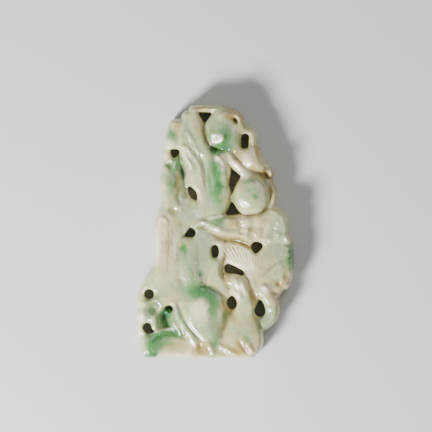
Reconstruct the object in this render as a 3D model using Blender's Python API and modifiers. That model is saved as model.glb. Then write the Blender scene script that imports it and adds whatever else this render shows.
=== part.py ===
"""A pierced jade carving, lying on its flat back with its worked face up.

Metres, +Z up. The foot of the carving is a flat face towards -Y, its top points to +Y, and the
origin is the middle of its underside. The whole carving is one stone: a pierced slab whose front
is cut back into trunks, rocks, a round fruit, a cloud, a fan leaf and a gourd, and whose back is
plain and flat.

The forms are drawn in millimetres on a plan whose x runs from the carving's middle line and whose
y runs up from its base. PLAN and DEPTH turn the plan's millimetres into metres.
"""

import math

import bmesh
import bpy
import numpy as np
from mathutils.kdtree import KDTree

# Overall size
HEIGHT = 0.0887
THICKNESS = 0.0128

# Edges: the outer edge is rounded over from both faces, holes and foot only a little
FRONT_ROUND = 0.0018
BACK_ROUND = 0.0016
HOLE_ROUND = 0.0010
FOOT_BEVEL = 0.0006
EDGE_WALL = 0.0014

# Stone left under the lowest open ground, and under the deepest hollow
GROUND = 0.0054
THINNEST = 0.0026

# Fineness of the worked mesh
CELL = 0.0006
SLAB = 0.0080
POLISH_STEPS = 3
TRIANGLES = 9600

# The plan's own height and thickness, in its millimetres
PLAN_HEIGHT = 88.7
PLAN_THICKNESS = 12.8
PLAN = HEIGHT / PLAN_HEIGHT
DEPTH = THICKNESS / PLAN_THICKNESS

# Shape of the forms' sides and joins, in plan millimetres
WALL_SLOPE = 1.6
ARC_STEP = 0.25
ROUTE_STEPS = 6

# How fast a stroke comes up from its ends, and how much of a hole's rounding its back edge has
STROKE_FADE = 5
BACK_HOLE_SHARE = 0.5

# Outer outline, clockwise from the left end of the base: x, y and how far the arc to the next
# point bulges outwards. The last arc is the flat base.
OUTLINE = [
    (-24.6, 0.0, 0.6), (-26.2, 2.4, -0.3), (-27.8, 8.6, 0.2), (-27.6, 12.9, 0.6), (-26.9, 17.0, 0.8),
    (-26.4, 23.6, 0.4), (-21.7, 32.0, -0.1), (-21.3, 45.7, 0.2), (-18.4, 55.1, 1.3), (-17.6, 69.1, 0.8),
    (-17.6, 74.4, 0.1), (-16.9, 79.3, 0.3), (-15.1, 83.5, 0.1), (-12.0, 83.8, 0.8), (-9.5, 86.8, 0.3),
    (-7.8, 88.7, 0.0), (-2.4, 88.7, 0.0), (2.7, 88.6, 0.1), (3.4, 88.0, 1.8), (11.8, 81.2, 0.9),
    (15.4, 76.5, 0.0), (15.6, 73.7, 0.2), (17.8, 68.8, 0.2), (19.6, 67.0, 1.1), (20.2, 62.3, 1.3),
    (21.6, 53.2, 2.1), (26.2, 43.3, 0.4), (27.6, 38.7, 0.2), (27.7, 29.9, 0.3), (26.3, 23.9, 0.1),
    (24.3, 23.3, 0.3), (22.5, 20.8, 2.8), (17.1, 8.8, 1.4), (14.1, 0.0, 0.0),
]

# Holes, in the same form as the outline
HOLES = {
    "under the top bar": [(-6.0, 85.8, 0.1), (-0.6, 85.8, 0.0), (-3.1, 82.4, 0.3), (-3.9, 82.4, 0.0)],
    "left shoulder": [
        (-15.7, 72.8, 0.2), (-13.0, 72.9, 0.3), (-12.3, 71.8, 0.2), (-14.4, 69.8, 0.2),
        (-15.3, 70.9, 0.0),
    ],
    "left of the trunks": [
        (-8.9, 60.2, 0.1), (-6.4, 57.9, 0.2), (-6.2, 54.6, 0.0), (-8.5, 55.8, 0.1), (-9.6, 58.8, 0.2),
    ],
    "inside the arm": [
        (9.3, 77.2, 0.3), (10.7, 78.4, 0.3), (12.1, 77.5, 0.0), (11.7, 73.4, 0.1), (9.3, 73.1, 0.0),
    ],
    "above the fruit": [
        (5.8, 66.2, 0.0), (9.4, 63.5, -0.2), (7.1, 59.5, 0.0), (6.1, 57.1, 0.0), (4.8, 60.5, 0.0),
        (5.2, 62.8, -0.1),
    ],
    "below the fruit": [(5.9, 55.2, 0.0), (8.9, 50.3, 0.1), (4.3, 49.8, 0.2), (3.7, 50.4, -0.3)],
    "middle left": [
        (-10.8, 42.7, 0.0), (-8.7, 45.5, 0.3), (-6.6, 43.9, 0.4), (-8.0, 42.0, 0.0), (-10.5, 42.2, 0.1),
    ],
    "middle": [(-1.2, 38.5, 0.7), (1.1, 38.9, 0.3), (1.3, 35.7, 0.5), (-0.8, 35.0, 0.2)],
    "over the fan leaf": [
        (12.8, 38.3, 0.5), (13.8, 40.4, 0.3), (16.3, 40.0, 0.5), (16.5, 38.1, 0.1), (14.4, 36.2, 0.3),
    ],
    "over the old trunk": [
        (3.3, 31.1, 0.7), (5.3, 32.7, 0.1), (9.2, 30.7, 0.4), (10.1, 28.7, 0.2), (8.9, 28.7, -0.2),
        (4.8, 29.3, 0.4),
    ],
    "far left": [(-24.8, 22.2, 1.7), (-21.3, 22.2, 1.9)],
    "low left": [
        (-25.3, 10.8, 0.8), (-22.6, 11.7, 0.2), (-22.2, 10.0, -0.2), (-20.7, 9.3, 0.2),
        (-22.9, 8.2, 0.4), (-24.8, 9.1, 0.3),
    ],
    "left of the old trunk": [
        (4.5, 20.1, 0.1), (6.1, 21.8, 0.2), (7.7, 19.6, 0.4), (7.0, 17.0, 0.3), (5.0, 17.3, 0.4),
    ],
    "inside the stalk": [
        (14.0, 17.1, 0.1), (16.0, 20.5, 0.2), (17.7, 17.0, 0.5), (16.7, 14.3, 0.3), (14.6, 14.7, 0.4),
    ],
    "hollow": [
        (-17.6, 16.2, 0.3), (-16.8, 18.0, 0.3), (-15.2, 17.9, 0.3), (-14.6, 16.2, 0.0),
        (-15.5, 15.9, -0.1), (-15.9, 16.8, 0.0), (-16.7, 16.6, -0.1),
    ],
}

# Round-topped forms along a route: bulge of the section, softness of its join, and along the
# route x, y, half width and height of the crest above the back
LIMBS = {
    "left shoulder": (0.35, 1.0, [(-13.6, 81.7, 4.4, 8.7), (-14.3, 76.1, 4.0, 8.8)]),
    "shoulder rim": (0.6, 0.9, [
        (-16.4, 73.7, 1.6, 8.2), (-16.7, 71.6, 1.5, 8.0), (-16.2, 69.1, 1.9, 8.2),
    ]),
    "left rocks": (0.45, 0.6, [
        (-15.0, 67.7, 3.2, 8.2), (-15.5, 60.5, 3.8, 8.7), (-15.0, 53.7, 4.4, 8.6),
        (-15.2, 49.5, 5.0, 8.8),
    ]),
    "long slope": (0.35, 0.7, [
        (-16.4, 46.0, 4.8, 9.1), (-16.2, 36.0, 5.4, 9.4), (-17.8, 27.8, 6.5, 9.2),
        (-18.5, 21.5, 7.0, 8.6),
    ]),
    "slope's outer roll": (0.45, 1.2, [
        (-18.6, 46.6, 2.6, 9.7), (-19.0, 37.6, 3.0, 10.1), (-19.6, 31.5, 3.4, 9.9),
        (-23.2, 25.0, 3.2, 9.0),
    ]),
    "left trunk": (0.35, 0.6, [
        (-9.8, 85.4, 2.4, 9.0), (-10.6, 80.0, 3.0, 9.5), (-8.6, 73.0, 3.2, 9.8), (-5.4, 63.0, 3.4, 9.9),
        (-3.8, 52.5, 3.8, 9.3),
    ]),
    "middle trunk": (0.55, 0.35, [
        (-7.4, 86.6, 2.1, 9.2), (-6.4, 80.5, 2.9, 10.1), (-2.8, 71.0, 2.4, 10.4),
        (-1.1, 61.0, 2.7, 9.9), (-1.7, 53.0, 3.2, 9.3),
    ]),
    "right trunk": (0.5, 0.5, [
        (1.5, 70.5, 2.8, 9.6), (2.2, 65.6, 3.4, 10.4), (2.0, 59.3, 3.8, 10.5), (0.7, 53.0, 3.6, 9.9),
        (-0.8, 48.6, 3.2, 9.2),
    ]),
    "top bar": (0.7, 0.6, [
        (-8.3, 87.0, 1.7, 8.8), (-4.0, 87.3, 1.5, 9.3), (1.0, 87.2, 1.8, 9.8), (4.3, 86.2, 1.9, 9.6),
    ]),
    "cap's rim": (0.6, 0.6, [(4.3, 86.4, 1.6, 8.9), (8.0, 85.2, 1.7, 9.4), (11.4, 81.4, 1.3, 8.6)]),
    "arm": (0.7, 0.4, [
        (11.1, 79.8, 1.4, 8.6), (13.2, 78.4, 1.8, 9.3), (14.0, 73.5, 2.1, 9.8), (15.7, 68.4, 2.8, 9.9),
        (16.9, 65.6, 2.3, 9.2),
    ]),
    "hanging fold": (0.7, 0.35, [
        (6.7, 73.0, 1.1, 9.4), (8.9, 71.0, 2.0, 10.5), (11.6, 69.2, 2.8, 11.4), (14.4, 67.3, 2.5, 10.7),
        (16.2, 66.1, 2.0, 9.8),
    ]),
    "behind the fruit": (0.7, 0.4, [
        (18.8, 62.1, 1.9, 8.5), (20.5, 58.0, 2.1, 9.1), (19.9, 52.6, 2.3, 8.8),
    ]),
    "slim branch": (0.95, 0.3, [
        (5.0, 71.8, 1.1, 9.8), (6.4, 68.9, 1.4, 10.6), (8.7, 66.3, 1.6, 10.9), (11.6, 64.4, 1.6, 10.6),
        (14.8, 63.0, 1.3, 9.9),
    ]),
    "cloud's lower roll": (0.8, 0.4, [
        (3.9, 43.5, 1.3, 10.6), (7.8, 43.2, 1.3, 10.8), (10.9, 41.9, 1.2, 10.7),
        (12.9, 40.6, 1.0, 10.3),
    ]),
    "twig": (0.8, 0.35, [
        (-6.7, 45.5, 0.9, 9.0), (-4.5, 47.1, 1.2, 9.8), (-2.0, 46.5, 1.3, 10.2), (0.8, 44.5, 1.4, 10.8),
        (5.3, 43.2, 1.3, 10.6),
    ]),
    "plume": (0.5, 1.0, [(-8.8, 38.0, 3.0, 9.4), (-9.0, 31.0, 3.4, 9.7), (-7.0, 24.5, 3.2, 9.6)]),
    "leaf's stem": (0.5, 0.8, [(12.6, 28.5, 1.5, 9.7), (13.6, 24.5, 1.3, 9.9), (14.4, 20.8, 0.9, 9.5)]),
    "curled stalk": (0.75, 0.4, [
        (16.3, 25.2, 1.6, 9.8), (17.4, 22.6, 2.2, 10.5), (20.2, 19.0, 3.1, 10.3),
        (20.4, 14.8, 3.4, 10.0), (18.2, 11.9, 3.1, 9.5), (15.1, 10.8, 2.4, 8.8),
    ]),
    "old trunk": (0.6, 0.8, [
        (4.8, 27.4, 2.2, 9.8), (7.6, 26.4, 3.2, 10.8), (9.0, 23.6, 3.9, 11.1), (10.8, 19.0, 3.5, 11.1),
        (10.9, 11.0, 5.4, 10.5), (10.6, 5.4, 6.8, 10.0),
    ]),
    "long blade": (0.7, 0.35, [
        (-13.9, 19.1, 1.4, 8.9), (-12.3, 14.6, 1.6, 9.9), (-8.6, 8.5, 1.7, 10.2), (-4.1, 3.3, 1.6, 9.4),
    ]),
    "short blade": (0.7, 0.35, [
        (-15.7, 15.2, 0.9, 8.8), (-13.4, 11.0, 1.2, 9.5), (-11.0, 7.6, 1.1, 8.9),
    ]),
}

# Domes: x, y, half widths, turn in degrees, height of the top, drop to the foot, softness of join
DOMES = {
    "upper middle ground": (-6.6, 46.4, 9.1, 10.5, 0, 8.5, 1.2, 1.2),
    "lower middle ground": (-4.5, 33.4, 8.6, 12.8, -10, 8.7, 1.0, 1.2),
    "slope's foot": (-14.5, 21.5, 7.0, 6.0, 0, 8.7, 1.0, 1.2),
    "cap": (5.6, 81.4, 6.8, 6.3, -30, 10.6, 1.8, 1.2),
    "pod": (1.5, 79.5, 4.9, 6.4, 8, 11.8, 2.8, 1.2),
    "pod's shoulder": (5.6, 77.0, 4.2, 5.2, 35, 11.0, 2.0, 1.4),
    "fold's upper side": (11.9, 71.6, 3.4, 2.5, -30, 10.7, 1.0, 1.0),
    "above the fruit": (11.6, 62.9, 3.4, 1.8, -25, 10.6, 0.6, 0.9),
    "knob": (20.2, 64.8, 2.0, 2.5, 0, 11.0, 2.6, 0.2),
    "stalk's knuckle": (17.4, 23.4, 2.8, 2.7, 0, 10.9, 1.5, 0.5),
    "fruit": (12.9, 57.0, 6.4, 7.0, 0, 12.8, 3.6, 0.5),
    "old trunk's foot": (10.6, 6.8, 7.5, 9.3, 0, 10.7, 2.2, 1.2),
    "gourd": (-3.1, 15.2, 8.5, 9.6, 20, 11.1, 2.0, 2.0),
    "corner ground": (-22.7, 17.5, 4.8, 6.5, -10, 8.0, 1.2, 0.8),
    "corner's low ground": (-22.0, 11.0, 5.6, 4.0, 0, 7.6, 1.0, 0.8),
    "bank": (-3.1, 1.9, 10.5, 5.8, 0, 9.5, 1.0, 2.0),
}

# Forms drawn by an outline of arcs: height, fall towards +x and +y, drop at the edge, width of
# that drop, softness of the join, outline
PATCHES = {
    "cloud": (10.2, 0.0, 0.0, 1.6, 2.4, 0.6, [
        (-2.0, 48.6, 0.0), (9.5, 50.1, 0.2), (16.5, 50.6, 0.2), (21.4, 52.8, 1.0), (26.0, 48.8, 1.2),
        (27.2, 43.2, 0.3), (28.6, 40.2, 0.0), (24.0, 39.5, -0.2), (20.4, 39.8, -0.1), (16.7, 39.5, 0.4),
        (13.0, 38.8, -0.5), (8.8, 41.3, 0.1), (2.5, 41.9, 0.2), (-1.0, 45.0, 0.0),
    ]),
    "folded leaf": (9.3, -0.08, 0.0, 0.8, 2.0, 0.6, [
        (-4.1, 25.7, 0.0), (-3.1, 31.3, 0.2), (-1.0, 33.9, 0.1), (2.4, 33.8, -0.3), (2.7, 29.2, -0.3),
        (4.8, 25.7, 0.0), (5.0, 20.8, 0.0), (-0.3, 23.4, 0.0),
    ]),
    "wing": (9.0, -0.02, 0.05, 1.2, 3.2, 0.4, [
        (-26.4, -0.2, 0.0), (-25.8, 6.1, 0.0), (-22.7, 8.4, 0.3), (-17.4, 10.2, 0.4), (-13.2, 9.7, 0.3),
        (-8.7, 5.8, 0.2), (-4.8, 2.6, 0.0), (-4.1, -0.2, 0.0),
    ]),
}

# Soft swellings on what is there: x, y, half widths, turn in degrees, rise
SWELLS = {
    "green knot": (-12.6, 67.3, 3.6, 3.9, -10, 0.7),
    "left rock": (-15.2, 60.4, 3.8, 5.0, -5, 0.9),
    "left lower rock": (-17.0, 54.1, 3.0, 3.8, 0, 0.5),
    "left inner rock": (-12.9, 52.6, 3.0, 2.6, 0, 0.5),
    "pod's lip": (1.3, 77.4, 3.6, 3.9, 0, 0.5),
    "above the pod": (2.8, 85.4, 3.6, 2.8, 0, 1.5),
    "cloud's left lobe": (6.2, 47.6, 3.4, 2.8, 0, 0.7),
    "cloud's second lobe": (11.4, 47.4, 2.8, 2.4, 15, 0.6),
    "cloud's second low lobe": (10.6, 43.4, 3.0, 2.0, 20, 0.5),
    "cloud's third lobe": (16.0, 47.6, 2.6, 2.8, -15, 0.6),
    "cloud's third low lobe": (15.0, 43.2, 2.4, 3.0, -15, 0.5),
    "cloud's fourth lobe": (19.2, 46.0, 2.4, 3.4, -10, 0.6),
    "cloud's fourth low lobe": (18.4, 41.0, 2.8, 1.8, 0, 0.6),
    "cloud's fifth low lobe": (21.8, 43.0, 2.2, 2.8, 20, 0.6),
    "cloud's right lobe": (23.2, 48.2, 4.2, 4.8, -10, 1.1),
    "cloud's rim lobe": (25.4, 41.8, 2.2, 2.4, 0, 0.6),
    "gourd's crown": (-6.2, 17.0, 7.0, 7.0, 0, 0.5),
    "corner's upper rock": (-25.0, 19.6, 2.8, 3.8, 0, 0.6),
    "corner's middle rock": (-25.2, 15.0, 2.9, 2.9, 0, 1.1),
    "corner's inner rock": (-21.2, 13.4, 3.4, 3.4, 0, 1.0),
    "corner's lower rock": (-25.6, 8.6, 2.8, 4.0, 0, 0.7),
    "wing's shoulder": (-22.4, 4.4, 5.0, 4.4, -30, 0.5),
}

# Raised lines: half width, height, route
RIDGES = {
    "right trunk's spine": (1.1, 0.8, [(0.6, 71.4), (1.8, 68.4), (3.1, 64.8), (3.7, 60.2)]),
    "bark fold": (0.7, 1.0, [(-9.3, 79.6), (-8.3, 76.4), (-6.5, 73.4), (-4.6, 69.8)]),
    "left trunk's edge": (0.9, 1.0, [(-12.6, 74.0), (-11.1, 72.6), (-9.7, 70.2), (-7.8, 66.0)]),
    "lid of the small pit": (0.6, 0.6, [(7.4, 84.9), (8.5, 83.4), (8.2, 81.6)]),
    "wing's edge": (0.4, 0.7, [(-23.2, 7.9), (-20.2, 9.3), (-17.4, 10.0), (-15.4, 10.1), (-13.8, 9.8)]),
    "wing's hollow lip": (0.5, 0.3, [(-24.0, 5.6), (-21.0, 8.4), (-17.4, 9.6)]),
    "ledge": (0.45, 0.75, [(-3.4, 48.4), (-1.0, 48.9), (1.6, 49.3), (3.8, 49.7)]),
    "hem": (0.4, 0.6, [(-19.3, 47.6), (-18.9, 48.8), (-18.2, 49.1), (-17.2, 48.5), (-16.4, 47.0)]),
    "left root": (0.9, 0.8, [(-3.3, 6.2), (-1.4, 3.6), (-0.4, 0.6)]),
    "middle root": (0.9, 0.8, [(1.2, 4.6), (4.3, 2.6), (8.0, 0.6)]),
    "right root": (0.9, 0.8, [(10.6, 5.6), (12.3, 3.4), (13.6, 1.2)]),
}

# Cut lines between the forms: half width, depth, route
GROOVES = {
    "left of the pod": (0.8, 1.1, [(-3.6, 82.4), (-3.5, 78.9), (-2.5, 75.4), (-0.6, 72.4)]),
    "under the hanging fold": (1.1, 0.35, [
        (4.2, 73.4), (6.4, 70.9), (8.5, 69.0), (10.8, 66.8), (13.1, 65.3), (15.4, 64.1), (17.2, 63.4),
    ]),
    "right of the fruit": (0.9, 0.8, [
        (16.6, 63.2), (18.8, 60.2), (19.4, 56.6), (18.9, 53.2), (16.8, 50.9),
    ]),
    "left of the knob": (0.7, 0.75, [(18.7, 67.2), (17.8, 65.4), (18.3, 63.4)]),
    "between the trunks": (0.7, 0.7, [
        (-5.3, 71.6), (-4.3, 68.8), (-3.5, 65.4), (-3.4, 62.0), (-3.0, 58.4),
    ]),
    "cloud's first fold": (0.8, 0.3, [(9.8, 49.6), (8.4, 47.2), (9.6, 44.6)]),
    "cloud's second fold": (0.9, 0.15, [(14.4, 50.2), (12.8, 47.4), (13.8, 44.0)]),
    "cloud's third fold": (0.8, 0.2, [(17.2, 49.8), (17.0, 46.0), (16.6, 42.6)]),
    "cloud's fourth fold": (0.8, 0.3, [(20.7, 47.6), (20.4, 44.5), (20.2, 41.4)]),
    "cloud's cross fold": (1.0, 0.2, [(8.0, 45.8), (11.4, 44.6), (14.4, 45.4), (17.4, 44.6)]),
    "under the cloud": (1.1, 1.4, [
        (-2.0, 44.5), (0.4, 42.9), (2.7, 41.9), (6.0, 41.3), (8.8, 40.9), (10.8, 39.8), (12.9, 38.5),
    ]),
    "left of the fan leaf": (0.8, 1.2, [
        (4.3, 37.4), (3.4, 34.5), (2.5, 32.0), (2.5, 29.6), (3.8, 26.9),
    ]),
    "right of the old trunk": (1.0, 0.35, [(10.2, 28.3), (12.2, 25.4), (13.4, 21.9), (14.3, 18.4)]),
    "left of the gourd": (0.6, 1.0, [
        (-13.6, 20.0), (-11.5, 14.9), (-9.4, 11.2), (-6.9, 8.0), (-4.2, 5.4),
    ]),
    "right of the gourd": (1.2, 1.1, [(3.2, 20.4), (5.2, 17.2), (4.3, 13.1), (3.2, 10.0), (1.8, 6.8)]),
    "shoulder's seam": (0.7, 0.6, [(-11.8, 84.2), (-12.7, 80.3), (-13.2, 76.0)]),
    "below the green knot": (0.7, 0.5, [(-16.6, 67.2), (-14.6, 65.5), (-12.9, 63.3), (-10.7, 61.9)]),
    "right of the left rock": (0.7, 0.8, [(-12.7, 63.4), (-12.4, 59.3), (-12.9, 55.8), (-11.6, 52.8)]),
    "under the fruit": (0.5, 0.8, [(8.6, 49.8), (13.0, 50.0), (16.5, 51.0), (19.0, 53.2)]),
    "under the twig": (0.6, 0.7, [(-6.8, 44.8), (-4.1, 45.8), (-1.6, 45.0)]),
    "under the wing's edge": (1.5, 0.8, [(-22.8, 5.8), (-19.6, 7.8), (-15.8, 8.5), (-12.6, 8.0)]),
    "fold of the fan leaf": (0.5, 0.5, [(16.3, 28.0), (19.0, 30.8), (21.8, 33.1), (25.6, 35.2)]),
    "under the stalk": (0.7, 0.9, [(17.0, 8.8), (15.5, 12.4), (14.7, 14.2)]),
    "fold of the folded leaf": (0.5, 0.5, [(-3.1, 25.2), (-2.5, 28.9), (-0.2, 33.8)]),
    "under the knob": (0.8, 0.6, [(17.4, 63.8), (19.0, 63.3), (20.8, 62.6)]),
    "left of the right root": (0.7, 0.5, [(7.8, 6.6), (9.4, 4.4), (10.8, 2.4), (11.6, 0.8)]),
}

# Hollows: x, y, half widths, turn in degrees, depth
HOLLOWS = {
    "green hollow": (-17.5, 13.4, 3.6, 5.6, -22, 3.0),
    "corner hollow": (-21.2, 17.2, 2.2, 2.8, -30, 1.8),
    "drilled pit": (-16.1, 16.7, 1.4, 1.5, 0, 2.6),
    "under the pod": (1.2, 73.0, 4.0, 1.7, 6, 1.7),
    "beside the left trunk": (-11.6, 66.0, 2.6, 4.2, 20, 1.4),
    "shoulder nick": (-16.4, 67.7, 2.0, 1.2, 0, 2.0),
    "small pit of the cap": (7.2, 83.0, 1.1, 1.8, 35, 2.8),
    "dimple of the fan leaf": (22.4, 25.8, 1.4, 1.5, 0, 0.8),
    "rim hollow": (25.1, 28.5, 1.4, 2.2, -10, 0.9),
    "inner rock's hollow": (-14.6, 51.3, 2.6, 2.3, 0, 0.9),
    "ochre hollow": (-5.0, 3.6, 1.6, 2.8, 12, 1.2),
}

# Worn flats that face the lower left: x, y, half widths, turn in degrees
FLATS = {
    "pod's flat": (0.8, 76.7, 3.3, 2.4, -8),
    "hanging fold's flat": (12.0, 68.0, 1.8, 1.2, -30),
    "slim branch's flat": (8.0, 66.9, 3.6, 1.3, -50),
    "left trunk's flat": (-8.9, 71.0, 1.5, 5.0, 36),
    "middle trunk's flat": (-8.0, 76.0, 0.9, 2.8, 32),
    "right trunk's flat": (1.6, 68.7, 1.2, 3.0, 33),
    "fruit's flat": (11.3, 53.5, 1.8, 1.3, -15),
    "twig's flat": (0.7, 44.8, 3.2, 1.3, -36),
    "cloud's flat": (10.2, 44.1, 2.2, 1.3, 20),
    "old trunk's flat": (7.6, 25.2, 1.0, 2.8, 8),
    "knuckle's flat": (17.2, 23.9, 1.5, 1.7, 0),
    "stalk's flat": (19.0, 16.4, 0.9, 1.9, 0),
    "left root's flat": (-2.3, 3.4, 0.7, 2.0, 22),
    "middle root's flat": (3.0, 3.2, 1.9, 0.7, -32),
    "right root's flat": (12.4, 2.5, 1.6, 0.7, -45),
    "old trunk's second flat": (9.9, 23.6, 1.0, 3.4, 5),
}
FLAT_TILT = 0.37
FLAT_FADE = 0.4
FLAT_SHARE = 0.9

# Fan leaf: the point its ribs run from, and how far it reaches at each angle from straight up
FAN_ROOT = (16.5, 18.7)
FAN_ANGLES = [-50, -40, -28, -10, 10, 30, 50, 70, 90]
FAN_REACH = [17.5, 23.1, 25.2, 24.0, 22.2, 21.9, 18.4, 14.7, 11.2]
FAN_HEIGHT = 8.8
FAN_SWELL = 1.3
FAN_EDGE_SLOPE = 3.4
FAN_JOIN = 0.6

# How the leaf's face falls away on both sides of its middle angle, and more past its left fold,
# how its right half rises around one angle, how it falls off past its first and last angle, and
# its coarse ribs
FAN_MIDDLE = -5
FAN_FALL = 0.0003
FAN_LEFT_FOLD = -8
FAN_LEFT_FALL = 0.05
FAN_RISE = 0.5
FAN_RISE_ANGLE = 35
FAN_RISE_SPREAD = 22
FAN_FIRST = -40
FAN_LAST = 95
FAN_SIDE_FALL = 0.4
FAN_RIBS = 36
FAN_RIB_HEIGHT = 0.16
FAN_RIB_START = 3
FAN_RIB_FADE = 10

# Plain colour and polish of the stone
STONE_COLOUR = (0.66, 0.68, 0.55, 1)
STONE_ROUGHNESS = 0.22


def arc(start, end, bulge):
    """Points from start towards end along an arc that bulges to the left of the way, end left out."""
    (ax, ay), (bx, by) = start, end
    dx, dy = bx - ax, by - ay
    chord = math.hypot(dx, dy)
    count = max(2, int(chord / ARC_STEP))
    if abs(bulge) < 1e-6:
        return [(ax + dx * k / count, ay + dy * k / count) for k in range(count)]
    half = 2 * math.atan2(2 * abs(bulge), chord)
    radius = chord / (2 * math.sin(half))
    count = max(count, int(2 * half * radius / ARC_STEP))
    side = math.copysign(1, bulge)
    inward = side * radius * math.cos(half)
    cx = (ax + bx) / 2 + dy / chord * inward
    cy = (ay + by) / 2 - dx / chord * inward
    first = math.atan2(ay - cy, ax - cx)
    points = []
    for k in range(count):
        angle = first - side * 2 * half * k / count
        points.append((cx + radius * math.cos(angle), cy + radius * math.sin(angle)))
    return points


def closed_outline(corners):
    """The points of a closed outline of arcs."""
    points = []
    for (x, y, bulge), (next_x, next_y, _) in zip(corners, corners[1:] + corners[:1]):
        points += arc((x, y), (next_x, next_y), bulge)
    return np.array(points)


def smooth_route(points):
    """A smooth curve through a route's points, with what each point holds carried along."""
    given = np.array(points, float)
    ends = np.vstack([2 * given[0] - given[1], given, 2 * given[-1] - given[-2]])
    curve = []
    for before, here, there, after in zip(ends, ends[1:], ends[2:], ends[3:]):
        for k in range(ROUTE_STEPS):
            t = k / ROUTE_STEPS
            bend = 2 * before - 5 * here + 4 * there - after
            twist = 3 * here - before - 3 * there + after
            curve.append(0.5 * (2 * here + (there - before) * t + bend * t * t + twist * t ** 3))
    curve.append(given[-1])
    return np.array(curve)


def window(x, y, points, margin):
    """Which places lie near some points."""
    low, high = points[:, :2].min(0) - margin, points[:, :2].max(0) + margin
    return (x > low[0]) & (x < high[0]) & (y > low[1]) & (y < high[1])


def nearest_on(points, x, y):
    """Distance to a chain of points, and the place of the nearest point along it."""
    best = np.full(x.shape, 1e9)
    place = np.zeros(x.shape)
    for k, (a, b) in enumerate(zip(points[:-1], points[1:])):
        dx, dy = b[0] - a[0], b[1] - a[1]
        t = np.clip(((x - a[0]) * dx + (y - a[1]) * dy) / max(dx * dx + dy * dy, 1e-12), 0, 1)
        away = np.hypot(x - a[0] - t * dx, y - a[1] - t * dy)
        closer = away < best
        best = np.where(closer, away, best)
        place = np.where(closer, k + t, place)
    return best, place


def inside(points, x, y):
    """Which places lie inside a closed outline."""
    result = np.zeros(x.shape, bool)
    for (ax, ay), (bx, by) in zip(points, np.roll(points, -1, 0)):
        if ay == by:
            continue
        result ^= ((ay > y) != (by > y)) & (x < ax + (y - ay) * (bx - ax) / (by - ay))
    return result


def join(height, form, softness):
    """The higher of two forms, with a soft fillet where they meet."""
    near = np.maximum(softness - np.abs(height - form), 0) / softness
    return np.maximum(height, form) + near * near * softness / 4


def add_limb(height, x, y, bulge, softness, route):
    curve = smooth_route(route)
    reach = (curve[:, 3].max() + softness) / WALL_SLOPE
    near = window(x, y, curve, curve[:, 2].max() + reach)
    away, place = nearest_on(curve, x[near], y[near])
    steps = np.arange(len(curve))
    half = np.interp(place, steps, curve[:, 2])
    crest = np.interp(place, steps, curve[:, 3])
    across = np.clip(away / half, 0, 1)
    form = crest - half * bulge * (1 - np.sqrt(1 - across ** 2)) - WALL_SLOPE * np.maximum(away - half, 0)
    height[near] = join(height[near], form, softness)


def oval(x, y, middle_x, middle_y, half_x, half_y, turn):
    """How far out each place lies in a turned oval: 0 in its middle, 1 on its edge."""
    c, s = math.cos(math.radians(turn)), math.sin(math.radians(turn))
    along = ((x - middle_x) * c + (y - middle_y) * s) / half_x
    across = (-(x - middle_x) * s + (y - middle_y) * c) / half_y
    return np.sqrt(along ** 2 + across ** 2)


def add_dome(height, x, y, middle_x, middle_y, half_x, half_y, turn, top, drop, softness):
    out = oval(x, y, middle_x, middle_y, half_x, half_y, turn)
    within = np.clip(out, 0, 1)
    beyond = np.maximum(out - 1, 0) * min(half_x, half_y)
    form = top - drop * (1 - np.sqrt(1 - within ** 2)) - WALL_SLOPE * beyond
    height[:] = join(height, form, softness)


def add_patch(height, x, y, top, fall_x, fall_y, drop, width, softness, corners):
    points = closed_outline(corners)
    reach = (top + softness) / WALL_SLOPE
    near = window(x, y, points, reach)
    away, _ = nearest_on(np.vstack([points, points[:1]]), x[near], y[near])
    within = inside(points, x[near], y[near])
    middle = points.mean(0)
    level = top - fall_x * (x[near] - middle[0]) - fall_y * (y[near] - middle[1])
    inwards = np.clip(np.where(within, away, 0) / width, 0, 1)
    form = level - drop * (1 - np.sqrt(1 - (1 - inwards) ** 2)) - WALL_SLOPE * np.where(within, 0, away)
    height[near] = join(height[near], form, softness)


def add_swell(height, x, y, middle_x, middle_y, half_x, half_y, turn, rise):
    out = np.clip(oval(x, y, middle_x, middle_y, half_x, half_y, turn), 0, 1)
    height += rise * (1 - out ** 2) ** 2


def add_stroke(height, x, y, half, rise, route):
    """A raised line, or a cut one with a negative rise, that runs out to nothing at its ends."""
    curve = smooth_route(route)
    reach = 3 * half
    near = window(x, y, curve, reach)
    away, place = nearest_on(curve, x[near], y[near])
    share = place / (len(curve) - 1)
    fade = np.sqrt(np.clip(STROKE_FADE * share * (1 - share), 0, 1))
    height[near] += rise * fade * np.exp(-((away / (half * (0.5 + 0.5 * fade))) ** 2))


def add_flat(height, x, y, middle_x, middle_y, half_x, half_y, turn):
    """Wears a flat into the surface, at the height it has there."""
    out = oval(x, y, middle_x, middle_y, half_x, half_y, turn)
    near = out < 1
    if not near.any():
        return
    share = np.clip((1 - out[near]) / FLAT_FADE, 0, 1)
    share = FLAT_SHARE * share * share * (3 - 2 * share)
    level = np.average(height[near], weights=1 - out[near])
    plane = level + FLAT_TILT * (x[near] - middle_x + y[near] - middle_y)
    height[near] += share * (plane - height[near])


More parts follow.
